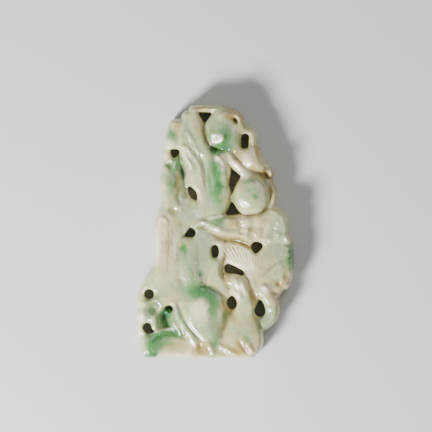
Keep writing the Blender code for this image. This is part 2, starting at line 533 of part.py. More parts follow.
def fan_leaf(x, y):
    """Height of the fan leaf, whose folds spread from its root."""
    away_x, away_y = x - FAN_ROOT[0], y - FAN_ROOT[1]
    radius = np.hypot(away_x, away_y)
    angle = np.degrees(np.arctan2(away_x, away_y))
    reach = np.interp(angle, FAN_ANGLES, FAN_REACH)
    body = FAN_HEIGHT + FAN_SWELL * np.sin(np.clip(radius / max(FAN_REACH), 0, 1) * math.pi)
    body += FAN_RISE * np.exp(-(((angle - FAN_RISE_ANGLE) / FAN_RISE_SPREAD) ** 2))
    body -= FAN_FALL * (angle - FAN_MIDDLE) ** 2 + FAN_LEFT_FALL * np.maximum(FAN_LEFT_FOLD - angle, 0)
    ribs = FAN_RIB_HEIGHT * np.cos(np.radians(angle) * FAN_RIBS)
    ribs *= np.clip((radius - FAN_RIB_START) / FAN_RIB_FADE, 0, 1)
    beyond = FAN_EDGE_SLOPE * np.maximum(radius - reach, 0)
    aside = FAN_SIDE_FALL * (np.maximum(FAN_FIRST - angle, 0) + np.maximum(angle - FAN_LAST, 0))
    return body + ribs - beyond - aside


def carved_front(x, y):
    """Height of the worked face above the back, in plan millimetres."""
    height = np.full(x.shape, GROUND / DEPTH)
    for form in LIMBS.values():
        add_limb(height, x, y, *form)
    for form in DOMES.values():
        add_dome(height, x, y, *form)
    for form in PATCHES.values():
        add_patch(height, x, y, *form)
    height = join(height, fan_leaf(x, y), FAN_JOIN)
    for form in SWELLS.values():
        add_swell(height, x, y, *form)
    for half, rise, route in RIDGES.values():
        add_stroke(height, x, y, half, rise, route)
    for half, depth, route in GROOVES.values():
        add_stroke(height, x, y, half, -depth, route)
    for *place, depth in HOLLOWS.values():
        add_swell(height, x, y, *place, -depth)
    for place in FLATS.values():
        add_flat(height, x, y, *place)
    return np.clip(height, THINNEST / DEPTH, PLAN_THICKNESS)


def point_tree(outlines):
    """A search tree over the points of some outlines."""
    points = np.vstack(outlines)
    tree = KDTree(len(points))
    for k, (x, y) in enumerate(points):
        tree.insert((x, y, 0), k)
    tree.balance()
    return tree


def nearest_points(tree, x, y):
    """The nearest outline point to each place, and its distance."""
    found = [tree.find((a, b, 0)) for a, b in zip(x, y)]
    places = np.array([(point.x, point.y) for point, _, _ in found])
    return places, np.array([away for _, _, away in found])


def round_over(x, y, places, away, width):
    """Crowds the mesh towards a rounded edge, and gives each place's share of the full height."""
    share = np.clip(away / width, 0, 1)
    kept = width * (1 - np.cos(share * math.pi / 2))
    pull = np.where(away > 1e-9, np.where(share < 1, kept / np.maximum(away, 1e-9), 1), 1)
    x[:] = places[:, 0] + (x - places[:, 0]) * pull
    y[:] = places[:, 1] + (y - places[:, 1]) * pull
    return np.sin(share * math.pi / 2)


def flat_slab(name):
    """The pierced slab that the carving is cut from, as a fine even mesh."""
    curve = bpy.data.curves.new(name, "CURVE")
    curve.dimensions = "2D"
    curve.fill_mode = "BOTH"
    curve.extrude = SLAB / 2
    for corners in [OUTLINE, *HOLES.values()]:
        points = closed_outline(corners) * PLAN
        spline = curve.splines.new("POLY")
        spline.points.add(len(points) - 1)
        for point, (x, y) in zip(spline.points, points):
            point.co = (x, y, 0, 1)
        spline.use_cyclic_u = True
    drawn = bpy.data.objects.new(name, curve)
    bpy.context.scene.collection.objects.link(drawn)
    mesh = bpy.data.meshes.new_from_object(drawn.evaluated_get(bpy.context.evaluated_depsgraph_get()))
    bpy.data.objects.remove(drawn)
    shape = bmesh.new()
    shape.from_mesh(mesh)
    bmesh.ops.remove_doubles(shape, verts=shape.verts, dist=1e-6)
    bmesh.ops.recalc_face_normals(shape, faces=shape.faces)
    shape.to_mesh(mesh)
    shape.free()
    slab = bpy.data.objects.new(name, mesh)
    bpy.context.scene.collection.objects.link(slab)
    remesh = slab.modifiers.new("even mesh", "REMESH")
    remesh.mode = "VOXEL"
    remesh.voxel_size = CELL
    fine = bpy.data.meshes.new_from_object(slab.evaluated_get(bpy.context.evaluated_depsgraph_get()))
    bpy.data.objects.remove(slab)
    return fine


def carve(mesh):
    """Moves the slab's points to the carved front, the flat back and the rounded edges."""
    flat = np.empty(len(mesh.vertices) * 3)
    mesh.vertices.foreach_get("co", flat)
    flat = flat.reshape(-1, 3)
    x, y = flat[:, 0] / PLAN, flat[:, 1] / PLAN
    level = np.clip(flat[:, 2] / SLAB + 0.5, 0, 1)

    base = closed_outline(OUTLINE)
    rim_tree = point_tree([base[base[:, 1] > 1e-6]])
    hole_tree = point_tree([closed_outline(corners) for corners in HOLES.values()])
    foot = y < 0.3 * CELL / PLAN
    rim_places, rim_away = nearest_points(rim_tree, x, y)
    rim_round = (BACK_ROUND + level * (FRONT_ROUND - BACK_ROUND)) / PLAN
    risen = round_over(x, y, rim_places, rim_away, rim_round)
    hole_places, hole_away = nearest_points(hole_tree, x, y)
    opened = round_over(x, y, hole_places, hole_away, np.full(x.shape, HOLE_ROUND / PLAN))
    y[foot] = 0

    front = carved_front(x, y)
    edge_low, edge_high = BACK_ROUND / DEPTH, (BACK_ROUND + EDGE_WALL) / DEPTH
    hole_drop = HOLE_ROUND / DEPTH * (1 - opened)
    foot_drop = np.maximum(FOOT_BEVEL - y * PLAN, 0) / DEPTH
    top = edge_high + (front - edge_high) * risen - hole_drop * risen - foot_drop
    bottom = np.maximum(edge_low * (1 - risen), np.maximum(hole_drop * BACK_HOLE_SHARE, foot_drop))
    height = bottom + level * (np.maximum(top, edge_high) - bottom)
    placed = np.stack([x * PLAN, y * PLAN - HEIGHT / 2, height * DEPTH], -1)
    placed[np.abs(placed[:, 2]) < 1e-6, 2] = 0
    mesh.vertices.foreach_set("co", placed.ravel())
    mesh.update()


def jade():
    material = bpy.data.materials.new("jade")
    material.use_nodes = True
    shader = material.node_tree.nodes["Principled BSDF"]
    shader.inputs["Base Color"].default_value = STONE_COLOUR
    shader.inputs["Roughness"].default_value = STONE_ROUGHNESS
    shader.inputs["Metallic"].default_value = 0
    return material


def build():
    for item in list(bpy.data.objects):
        bpy.data.objects.remove(item)
    parts = bpy.data.collections.new("jade carving")
    bpy.context.scene.collection.children.link(parts)
    mesh = flat_slab("jade_carving")
    carve(mesh)
    mesh.materials.clear()
    mesh.materials.append(jade())
    mesh.shade_smooth()
    carving = bpy.data.objects.new("jade_carving", mesh)
    parts.objects.link(carving)
    polish = carving.modifiers.new("polish", "SMOOTH")
    polish.factor = 0.5
    polish.iterations = POLISH_STEPS
    fewer = carving.modifiers.new("fewer faces", "DECIMATE")
    mesh.calc_loop_triangles()
    fewer.ratio = TRIANGLES / len(mesh.loop_triangles)
    fewer.use_collapse_triangulate = True


build()
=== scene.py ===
"""A pierced jade carving: its fine carved surface, its mottled stone and the pale table it lies on."""

import math

import bmesh
import bpy
import numpy as np
from bpy.props import FloatProperty, FloatVectorProperty, IntProperty, PointerProperty
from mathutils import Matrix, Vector, noise
from mathutils.kdtree import KDTree


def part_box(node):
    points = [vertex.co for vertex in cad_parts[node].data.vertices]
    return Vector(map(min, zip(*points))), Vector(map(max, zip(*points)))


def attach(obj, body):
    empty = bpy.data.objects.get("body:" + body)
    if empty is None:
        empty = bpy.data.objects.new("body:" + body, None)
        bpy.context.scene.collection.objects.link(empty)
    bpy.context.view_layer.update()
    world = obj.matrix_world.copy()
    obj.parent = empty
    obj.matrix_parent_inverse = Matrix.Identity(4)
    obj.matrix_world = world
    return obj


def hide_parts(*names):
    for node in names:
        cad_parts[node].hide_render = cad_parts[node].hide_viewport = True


bl_info = {
    "name": "Pierced Jade Carving",
    "version": (1, 0, 0),
    "blender": (4, 5, 0),
    "location": "3D View > Sidebar > Jade Carving",
    "description": "Carves a pierced, mottled jade plaque and lays it on a pale table",
    "category": "Object",
}

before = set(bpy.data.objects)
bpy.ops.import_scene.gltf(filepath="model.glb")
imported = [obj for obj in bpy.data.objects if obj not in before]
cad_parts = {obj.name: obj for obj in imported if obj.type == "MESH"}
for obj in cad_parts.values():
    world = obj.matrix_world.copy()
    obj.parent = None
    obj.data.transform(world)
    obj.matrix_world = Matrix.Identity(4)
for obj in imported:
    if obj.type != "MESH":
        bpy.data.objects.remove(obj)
NODE = "jade_carving"
LOW, HIGH = (Vector(corner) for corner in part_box(NODE))

# The carving's forms are drawn in millimetres on a plan whose x runs from the middle line and
# whose y runs up from the base. PLAN and DEPTH turn the plan's millimetres into metres.
PLAN_HEIGHT = 88.7
PLAN_THICKNESS = 12.8
PLAN = (HIGH.y - LOW.y) / PLAN_HEIGHT
DEPTH = (HIGH.z - LOW.z) / PLAN_THICKNESS

# Shape of the forms' sides and joins, in plan millimetres
WALL_SLOPE = 1.6
ARC_STEP = 0.25
ROUTE_STEPS = 6

# How fast a stroke comes up from its ends, and how much of a hole's rounding its back edge has
STROKE_FADE = 5
BACK_HOLE_SHARE = 0.5

# Outer outline, clockwise from the left end of the base: x, y and how far the arc to the next
# point bulges outwards. The last arc is the flat base.
OUTLINE = [
    (-24.6, 0, 0.6), (-26.2, 2.4, -0.3), (-27.8, 8.6, 0.2), (-27.6, 12.9, 0.6), (-26.9, 17, 0.8),
    (-26.4, 23.6, 0.4), (-21.7, 32, -0.1), (-21.3, 45.7, 0.2), (-18.4, 55.1, 1.3), (-17.6, 69.1, 0.8),
    (-17.6, 74.4, 0.1), (-16.9, 79.3, 0.3), (-15.1, 83.5, 0.1), (-12, 83.8, 0.8), (-9.5, 86.8, 0.3),
    (-7.8, 88.7, 0), (-2.4, 88.7, 0), (2.7, 88.6, 0.1), (3.4, 88, 1.8), (11.8, 81.2, 0.9),
    (15.4, 76.5, 0), (15.6, 73.7, 0.2), (17.8, 68.8, 0.2), (19.6, 67, 1.1), (20.2, 62.3, 1.3),
    (21.6, 53.2, 2.1), (26.2, 43.3, 0.4), (27.6, 38.7, 0.2), (27.7, 29.9, 0.3), (26.3, 23.9, 0.1),
    (24.3, 23.3, 0.3), (22.5, 20.8, 2.8), (17.1, 8.8, 1.4), (14.1, 0, 0),
]

# Holes, in the same form as the outline
HOLES = {
    "under the top bar": [(-6, 85.8, 0.1), (-0.6, 85.8, 0), (-3.1, 82.4, 0.3), (-3.9, 82.4, 0)],
    "left shoulder": [
        (-15.7, 72.8, 0.2), (-13, 72.9, 0.3), (-12.3, 71.8, 0.2), (-14.4, 69.8, 0.2), (-15.3, 70.9, 0),
    ],
    "left of the trunks": [
        (-8.9, 60.2, 0.1), (-6.4, 57.9, 0.2), (-6.2, 54.6, 0), (-8.5, 55.8, 0.1), (-9.6, 58.8, 0.2),
    ],
    "inside the arm": [
        (9.3, 77.2, 0.3), (10.7, 78.4, 0.3), (12.1, 77.5, 0), (11.7, 73.4, 0.1), (9.3, 73.1, 0),
    ],
    "above the fruit": [
        (5.8, 66.2, 0), (9.4, 63.5, -0.2), (7.1, 59.5, 0), (6.1, 57.1, 0), (4.8, 60.5, 0),
        (5.2, 62.8, -0.1),
    ],
    "below the fruit": [(5.9, 55.2, 0), (8.9, 50.3, 0.1), (4.3, 49.8, 0.2), (3.7, 50.4, -0.3)],
    "middle left": [
        (-10.8, 42.7, 0), (-8.7, 45.5, 0.3), (-6.6, 43.9, 0.4), (-8, 42, 0), (-10.5, 42.2, 0.1),
    ],
    "middle": [(-1.2, 38.5, 0.7), (1.1, 38.9, 0.3), (1.3, 35.7, 0.5), (-0.8, 35, 0.2)],
    "over the fan leaf": [
        (12.8, 38.3, 0.5), (13.8, 40.4, 0.3), (16.3, 40, 0.5), (16.5, 38.1, 0.1), (14.4, 36.2, 0.3),
    ],
    "over the old trunk": [
        (3.3, 31.1, 0.7), (5.3, 32.7, 0.1), (9.2, 30.7, 0.4), (10.1, 28.7, 0.2), (8.9, 28.7, -0.2),
        (4.8, 29.3, 0.4),
    ],
    "far left": [(-24.8, 22.2, 1.7), (-21.3, 22.2, 1.9)],
    "low left": [
        (-25.3, 10.8, 0.8), (-22.6, 11.7, 0.2), (-22.2, 10, -0.2), (-20.7, 9.3, 0.2), (-22.9, 8.2, 0.4),
        (-24.8, 9.1, 0.3),
    ],
    "left of the old trunk": [
        (4.5, 20.1, 0.1), (6.1, 21.8, 0.2), (7.7, 19.6, 0.4), (7, 17, 0.3), (5, 17.3, 0.4),
    ],
    "inside the stalk": [
        (14, 17.1, 0.1), (16, 20.5, 0.2), (17.7, 17, 0.5), (16.7, 14.3, 0.3), (14.6, 14.7, 0.4),
    ],
    "hollow": [
        (-17.6, 16.2, 0.3), (-16.8, 18, 0.3), (-15.2, 17.9, 0.3), (-14.6, 16.2, 0), (-15.5, 15.9, -0.1),
        (-15.9, 16.8, 0), (-16.7, 16.6, -0.1),
    ],
}

# Round-topped forms along a route: bulge of the section, softness of its join, and along the
# route x, y, half width and height of the crest above the back
LIMBS = {
    "left shoulder": (0.35, 1, [(-13.6, 81.7, 4.4, 8.7), (-14.3, 76.1, 4, 8.8)]),
    "shoulder rim": (0.6, 0.9, [
        (-16.4, 73.7, 1.6, 8.2), (-16.7, 71.6, 1.5, 8), (-16.2, 69.1, 1.9, 8.2),
    ]),
    "left rocks": (0.45, 0.6, [
        (-15, 67.7, 3.2, 8.2), (-15.5, 60.5, 3.8, 8.7), (-15, 53.7, 4.4, 8.6), (-15.2, 49.5, 5, 8.8),
    ]),
    "long slope": (0.35, 0.7, [
        (-16.4, 46, 4.8, 9.1), (-16.2, 36, 5.4, 9.4), (-17.8, 27.8, 6.5, 9.2), (-18.5, 21.5, 7, 8.6),
    ]),
    "slope's outer roll": (0.45, 1.2, [
        (-18.6, 46.6, 2.6, 9.7), (-19, 37.6, 3, 10.1), (-19.6, 31.5, 3.4, 9.9), (-23.2, 25, 3.2, 9),
    ]),
    "left trunk": (0.35, 0.6, [
        (-9.8, 85.4, 2.4, 9), (-10.6, 80, 3, 9.5), (-8.6, 73, 3.2, 9.8), (-5.4, 63, 3.4, 9.9),
        (-3.8, 52.5, 3.8, 9.3),
    ]),
    "middle trunk": (0.55, 0.35, [
        (-7.4, 86.6, 2.1, 9.2), (-6.4, 80.5, 2.9, 10.1), (-2.8, 71, 2.4, 10.4), (-1.1, 61, 2.7, 9.9),
        (-1.7, 53, 3.2, 9.3),
    ]),
    "right trunk": (0.5, 0.5, [
        (1.5, 70.5, 2.8, 9.6), (2.2, 65.6, 3.4, 10.4), (2, 59.3, 3.8, 10.5), (0.7, 53, 3.6, 9.9),
        (-0.8, 48.6, 3.2, 9.2),
    ]),
    "top bar": (0.7, 0.6, [
        (-8.3, 87, 1.7, 8.8), (-4, 87.3, 1.5, 9.3), (1, 87.2, 1.8, 9.8), (4.3, 86.2, 1.9, 9.6),
    ]),
    "cap's rim": (0.6, 0.6, [(4.3, 86.4, 1.6, 8.9), (8, 85.2, 1.7, 9.4), (11.4, 81.4, 1.3, 8.6)]),
    "arm": (0.7, 0.4, [
        (11.1, 79.8, 1.4, 8.6), (13.2, 78.4, 1.8, 9.3), (14, 73.5, 2.1, 9.8), (15.7, 68.4, 2.8, 9.9),
        (16.9, 65.6, 2.3, 9.2),
    ]),
    "hanging fold": (0.7, 0.35, [
        (6.7, 73, 1.1, 9.4), (8.9, 71, 2, 10.5), (11.6, 69.2, 2.8, 11.4), (14.4, 67.3, 2.5, 10.7),
        (16.2, 66.1, 2, 9.8),
    ]),
    "behind the fruit": (0.7, 0.4, [
        (18.8, 62.1, 1.9, 8.5), (20.5, 58, 2.1, 9.1), (19.9, 52.6, 2.3, 8.8),
    ]),
    "slim branch": (0.95, 0.3, [
        (5, 71.8, 1.1, 9.8), (6.4, 68.9, 1.4, 10.6), (8.7, 66.3, 1.6, 10.9), (11.6, 64.4, 1.6, 10.6),
        (14.8, 63, 1.3, 9.9),
    ]),
    "cloud's lower roll": (0.8, 0.4, [
        (3.9, 43.5, 1.3, 10.6), (7.8, 43.2, 1.3, 10.8), (10.9, 41.9, 1.2, 10.7), (12.9, 40.6, 1, 10.3),
    ]),
    "twig": (0.8, 0.35, [
        (-6.7, 45.5, 0.9, 9), (-4.5, 47.1, 1.2, 9.8), (-2, 46.5, 1.3, 10.2), (0.8, 44.5, 1.4, 10.8),
        (5.3, 43.2, 1.3, 10.6),
    ]),
    "plume": (0.5, 1, [(-8.8, 38, 3, 9.4), (-9, 31, 3.4, 9.7), (-7, 24.5, 3.2, 9.6)]),
    "leaf's stem": (0.5, 0.8, [(12.6, 28.5, 1.5, 9.7), (13.6, 24.5, 1.3, 9.9), (14.4, 20.8, 0.9, 9.5)]),
    "curled stalk": (0.75, 0.4, [
        (16.3, 25.2, 1.6, 9.8), (17.4, 22.6, 2.2, 10.5), (20.2, 19, 3.1, 10.3), (20.4, 14.8, 3.4, 10),
        (18.2, 11.9, 3.1, 9.5), (15.1, 10.8, 2.4, 8.8),
    ]),
    "old trunk": (0.6, 0.8, [
        (4.8, 27.4, 2.2, 9.8), (7.6, 26.4, 3.2, 10.8), (9, 23.6, 3.9, 11.1), (10.8, 19, 3.5, 11.1),
        (10.9, 11, 5.4, 10.5), (10.6, 5.4, 6.8, 10),
    ]),
    "long blade": (0.7, 0.35, [
        (-13.9, 19.1, 1.4, 8.9), (-12.3, 14.6, 1.6, 9.9), (-8.6, 8.5, 1.7, 10.2), (-4.1, 3.3, 1.6, 9.4),
    ]),
    "short blade": (0.7, 0.35, [(-15.7, 15.2, 0.9, 8.8), (-13.4, 11, 1.2, 9.5), (-11, 7.6, 1.1, 8.9)]),
}

# Domes: x, y, half widths, turn in degrees, height of the top, drop to the foot, softness of join
DOMES = {
    "upper middle ground": (-6.6, 46.4, 9.1, 10.5, 0, 8.5, 1.2, 1.2),
    "lower middle ground": (-4.5, 33.4, 8.6, 12.8, -10, 8.7, 1, 1.2),
    "slope's foot": (-14.5, 21.5, 7, 6, 0, 8.7, 1, 1.2),
    "cap": (5.6, 81.4, 6.8, 6.3, -30, 10.6, 1.8, 1.2),
    "pod": (1.5, 79.5, 4.9, 6.4, 8, 11.8, 2.8, 1.2),
    "pod's shoulder": (5.6, 77, 4.2, 5.2, 35, 11, 2, 1.4),
    "fold's upper side": (11.9, 71.6, 3.4, 2.5, -30, 10.7, 1, 1),
    "above the fruit": (11.6, 62.9, 3.4, 1.8, -25, 10.6, 0.6, 0.9),
    "knob": (20.2, 64.8, 2, 2.5, 0, 11, 2.6, 0.2),
    "stalk's knuckle": (17.4, 23.4, 2.8, 2.7, 0, 10.9, 1.5, 0.5),
    "fruit": (12.9, 57, 6.4, 7, 0, 12.8, 3.6, 0.5),
    "old trunk's foot": (10.6, 6.8, 7.5, 9.3, 0, 10.7, 2.2, 1.2),
    "gourd": (-3.1, 15.2, 8.5, 9.6, 20, 11.1, 2, 2),
    "corner ground": (-22.7, 17.5, 4.8, 6.5, -10, 8, 1.2, 0.8),
    "corner's low ground": (-22, 11, 5.6, 4, 0, 7.6, 1, 0.8),
    "bank": (-3.1, 1.9, 10.5, 5.8, 0, 9.5, 1, 2),
}

# Forms drawn by an outline of arcs: height, fall towards +x and +y, drop at the edge, width of
# that drop, softness of the join, outline
PATCHES = {
    "cloud": (10.2, 0, 0, 1.6, 2.4, 0.6, [
        (-2, 48.6, 0), (9.5, 50.1, 0.2), (16.5, 50.6, 0.2), (21.4, 52.8, 1), (26, 48.8, 1.2),
        (27.2, 43.2, 0.3), (28.6, 40.2, 0), (24, 39.5, -0.2), (20.4, 39.8, -0.1), (16.7, 39.5, 0.4),
        (13, 38.8, -0.5), (8.8, 41.3, 0.1), (2.5, 41.9, 0.2), (-1, 45, 0),
    ]),
    "folded leaf": (9.3, -0.08, 0, 0.8, 2, 0.6, [
        (-4.1, 25.7, 0), (-3.1, 31.3, 0.2), (-1, 33.9, 0.1), (2.4, 33.8, -0.3), (2.7, 29.2, -0.3),
        (4.8, 25.7, 0), (5, 20.8, 0), (-0.3, 23.4, 0),
    ]),
    "wing": (9, -0.02, 0.05, 1.2, 3.2, 0.4, [
        (-26.4, -0.2, 0), (-25.8, 6.1, 0), (-22.7, 8.4, 0.3), (-17.4, 10.2, 0.4), (-13.2, 9.7, 0.3),
        (-8.7, 5.8, 0.2), (-4.8, 2.6, 0), (-4.1, -0.2, 0),
    ]),
}

# Soft swellings on what is there: x, y, half widths, turn in degrees, rise
SWELLS = {
    "green knot": (-12.6, 67.3, 3.6, 3.9, -10, 0.7),
    "left rock": (-15.2, 60.4, 3.8, 5, -5, 0.9),
    "left lower rock": (-17, 54.1, 3, 3.8, 0, 0.5),
    "left inner rock": (-12.9, 52.6, 3, 2.6, 0, 0.5),
    "pod's lip": (1.3, 77.4, 3.6, 3.9, 0, 0.5),
    "above the pod": (2.8, 85.4, 3.6, 2.8, 0, 1.5),
    "cloud's left lobe": (6.2, 47.6, 3.4, 2.8, 0, 0.7),
    "cloud's second lobe": (11.4, 47.4, 2.8, 2.4, 15, 0.6),
    "cloud's second low lobe": (10.6, 43.4, 3, 2, 20, 0.5),
    "cloud's third lobe": (16, 47.6, 2.6, 2.8, -15, 0.6),
    "cloud's third low lobe": (15, 43.2, 2.4, 3, -15, 0.5),
    "cloud's fourth lobe": (19.2, 46, 2.4, 3.4, -10, 0.6),
    "cloud's fourth low lobe": (18.4, 41, 2.8, 1.8, 0, 0.6),
    "cloud's fifth low lobe": (21.8, 43, 2.2, 2.8, 20, 0.6),
    "cloud's right lobe": (23.2, 48.2, 4.2, 4.8, -10, 1.1),
    "cloud's rim lobe": (25.4, 41.8, 2.2, 2.4, 0, 0.6),
    "gourd's crown": (-6.2, 17, 7, 7, 0, 0.5),
    "corner's upper rock": (-25, 19.6, 2.8, 3.8, 0, 0.6),
    "corner's middle rock": (-25.2, 15, 2.9, 2.9, 0, 1.1),
    "corner's inner rock": (-21.2, 13.4, 3.4, 3.4, 0, 1),
    "corner's lower rock": (-25.6, 8.6, 2.8, 4, 0, 0.7),
    "wing's shoulder": (-22.4, 4.4, 5, 4.4, -30, 0.5),
}

# Raised lines: half width, height, route
RIDGES = {
    "right trunk's spine": (1.1, 0.8, [(0.6, 71.4), (1.8, 68.4), (3.1, 64.8), (3.7, 60.2)]),
    "bark fold": (0.7, 1, [(-9.3, 79.6), (-8.3, 76.4), (-6.5, 73.4), (-4.6, 69.8)]),
    "left trunk's edge": (0.9, 1, [(-12.6, 74), (-11.1, 72.6), (-9.7, 70.2), (-7.8, 66)]),
    "lid of the small pit": (0.6, 0.6, [(7.4, 84.9), (8.5, 83.4), (8.2, 81.6)]),
    "wing's edge": (0.4, 0.7, [(-23.2, 7.9), (-20.2, 9.3), (-17.4, 10), (-15.4, 10.1), (-13.8, 9.8)]),
    "wing's hollow lip": (0.5, 0.3, [(-24, 5.6), (-21, 8.4), (-17.4, 9.6)]),
    "ledge": (0.45, 0.75, [(-3.4, 48.4), (-1, 48.9), (1.6, 49.3), (3.8, 49.7)]),
    "hem": (0.4, 0.6, [(-19.3, 47.6), (-18.9, 48.8), (-18.2, 49.1), (-17.2, 48.5), (-16.4, 47)]),
    "left root": (0.9, 0.8, [(-3.3, 6.2), (-1.4, 3.6), (-0.4, 0.6)]),
    "middle root": (0.9, 0.8, [(1.2, 4.6), (4.3, 2.6), (8, 0.6)]),
    "right root": (0.9, 0.8, [(10.6, 5.6), (12.3, 3.4), (13.6, 1.2)]),
}

# Raised lines that are rubbed white, the white also a painted highlight
LIGHT_RIDGES = ("wing's edge", "ledge", "hem")

# Cut lines between the forms: half width, depth, route
GROOVES = {
    "left of the pod": (0.8, 1.1, [(-3.6, 82.4), (-3.5, 78.9), (-2.5, 75.4), (-0.6, 72.4)]),
    "under the hanging fold": (1.1, 0.35, [
        (4.2, 73.4), (6.4, 70.9), (8.5, 69), (10.8, 66.8), (13.1, 65.3), (15.4, 64.1), (17.2, 63.4),
    ]),
    "right of the fruit": (0.9, 0.8, [
        (16.6, 63.2), (18.8, 60.2), (19.4, 56.6), (18.9, 53.2), (16.8, 50.9),
    ]),
    "left of the knob": (0.7, 0.75, [(18.7, 67.2), (17.8, 65.4), (18.3, 63.4)]),
    "between the trunks": (0.7, 0.7, [
        (-5.3, 71.6), (-4.3, 68.8), (-3.5, 65.4), (-3.4, 62), (-3, 58.4),
    ]),
    "cloud's first fold": (0.8, 0.3, [(9.8, 49.6), (8.4, 47.2), (9.6, 44.6)]),
    "cloud's second fold": (0.9, 0.15, [(14.4, 50.2), (12.8, 47.4), (13.8, 44)]),
    "cloud's third fold": (0.8, 0.2, [(17.2, 49.8), (17, 46), (16.6, 42.6)]),
    "cloud's fourth fold": (0.8, 0.3, [(20.7, 47.6), (20.4, 44.5), (20.2, 41.4)]),
    "cloud's cross fold": (1, 0.2, [(8, 45.8), (11.4, 44.6), (14.4, 45.4), (17.4, 44.6)]),
    "under the cloud": (1.1, 1.4, [
        (-2, 44.5), (0.4, 42.9), (2.7, 41.9), (6, 41.3), (8.8, 40.9), (10.8, 39.8), (12.9, 38.5),
    ]),
    "left of the fan leaf": (0.8, 1.2, [(4.3, 37.4), (3.4, 34.5), (2.5, 32), (2.5, 29.6), (3.8, 26.9)]),
    "right of the old trunk": (1, 0.35, [(10.2, 28.3), (12.2, 25.4), (13.4, 21.9), (14.3, 18.4)]),
    "left of the gourd": (0.6, 1, [(-13.6, 20), (-11.5, 14.9), (-9.4, 11.2), (-6.9, 8), (-4.2, 5.4)]),
    "right of the gourd": (1.2, 1.1, [(3.2, 20.4), (5.2, 17.2), (4.3, 13.1), (3.2, 10), (1.8, 6.8)]),
    "shoulder's seam": (0.7, 0.6, [(-11.8, 84.2), (-12.7, 80.3), (-13.2, 76)]),
    "below the green knot": (0.7, 0.5, [(-16.6, 67.2), (-14.6, 65.5), (-12.9, 63.3), (-10.7, 61.9)]),
    "right of the left rock": (0.7, 0.8, [(-12.7, 63.4), (-12.4, 59.3), (-12.9, 55.8), (-11.6, 52.8)]),
    "under the fruit": (0.5, 0.8, [(8.6, 49.8), (13, 50), (16.5, 51), (19, 53.2)]),
    "under the twig": (0.6, 0.7, [(-6.8, 44.8), (-4.1, 45.8), (-1.6, 45)]),
    "under the wing's edge": (1.5, 0.8, [(-22.8, 5.8), (-19.6, 7.8), (-15.8, 8.5), (-12.6, 8)]),
    "fold of the fan leaf": (0.5, 0.5, [(16.3, 28), (19, 30.8), (21.8, 33.1), (25.6, 35.2)]),
    "under the stalk": (0.7, 0.9, [(17, 8.8), (15.5, 12.4), (14.7, 14.2)]),
    "fold of the folded leaf": (0.5, 0.5, [(-3.1, 25.2), (-2.5, 28.9), (-0.2, 33.8)]),
    "under the knob": (0.8, 0.6, [(17.4, 63.8), (19, 63.3), (20.8, 62.6)]),
    "left of the right root": (0.7, 0.5, [(7.8, 6.6), (9.4, 4.4), (10.8, 2.4), (11.6, 0.8)]),
}

# Hollows: x, y, half widths, turn in degrees, depth
HOLLOWS = {
    "green hollow": (-17.5, 13.4, 3.6, 5.6, -22, 3),
    "corner hollow": (-21.2, 17.2, 2.2, 2.8, -30, 1.8),
    "drilled pit": (-16.1, 16.7, 1.4, 1.5, 0, 2.6),
    "under the pod": (1.2, 73, 4, 1.7, 6, 1.7),
    "beside the left trunk": (-11.6, 66, 2.6, 4.2, 20, 1.4),
    "shoulder nick": (-16.4, 67.7, 2, 1.2, 0, 2),
    "small pit of the cap": (7.2, 83, 1.1, 1.8, 35, 2.8),
    "dimple of the fan leaf": (22.4, 25.8, 1.4, 1.5, 0, 0.8),
    "rim hollow": (25.1, 28.5, 1.4, 2.2, -10, 0.9),
    "inner rock's hollow": (-14.6, 51.3, 2.6, 2.3, 0, 0.9),
    "ochre hollow": (-5, 3.6, 1.6, 2.8, 12, 1.2),
}

# Worn flats that face the lower left: x, y, half widths, turn in degrees
FLATS = {
    "pod's flat": (0.8, 76.7, 3.3, 2.4, -8),
    "hanging fold's flat": (12, 68, 1.8, 1.2, -30),
    "slim branch's flat": (8, 66.9, 3.6, 1.3, -50),
    "left trunk's flat": (-8.9, 71, 1.5, 5, 36),
    "middle trunk's flat": (-8, 76, 0.9, 2.8, 32),
    "right trunk's flat": (1.6, 68.7, 1.2, 3, 33),
    "fruit's flat": (11.3, 53.5, 1.8, 1.3, -15),
    "twig's flat": (0.7, 44.8, 3.2, 1.3, -36),
    "cloud's flat": (10.2, 44.1, 2.2, 1.3, 20),
    "old trunk's flat": (7.6, 25.2, 1, 2.8, 8),
    "knuckle's flat": (17.2, 23.9, 1.5, 1.7, 0),
    "stalk's flat": (19, 16.4, 0.9, 1.9, 0),
    "left root's flat": (-2.3, 3.4, 0.7, 2, 22),
    "middle root's flat": (3, 3.2, 1.9, 0.7, -32),
    "right root's flat": (12.4, 2.5, 1.6, 0.7, -45),
    "old trunk's second flat": (9.9, 23.6, 1, 3.4, 5),
}
FLAT_TILT = 0.37
FLAT_FADE = 0.4
FLAT_SHARE = 0.9

# Small flats on the finished surface, in the same form
SMALL_FLATS = {
    "bar's flat": (-1, 86.1, 1.9, 0.5, 15),
    "twig's left flat": (-4.2, 47.1, 1.4, 0.5, 10),
    "cloud's first flat": (9.4, 47.4, 0.6, 1.2, -15),
    "cloud's second flat": (14.1, 42.6, 0.5, 1.2, 0),
    "cloud's third flat": (16.8, 46.2, 0.7, 0.8, 0),
    "cloud's fourth flat": (20.9, 45.2, 0.6, 1, 0),
    "cloud's fifth flat": (21.7, 42.7, 0.7, 0.6, 0),
    "cloud's sixth flat": (24.5, 40.9, 0.5, 1.1, 15),
    "cloud's seventh flat": (18.8, 40.6, 0.8, 0.6, 0),
    "corner's flat": (-24.5, 1.6, 0.9, 0.8, 0),
    "rock's flat": (-12.3, 51.2, 0.8, 0.4, 0),
}

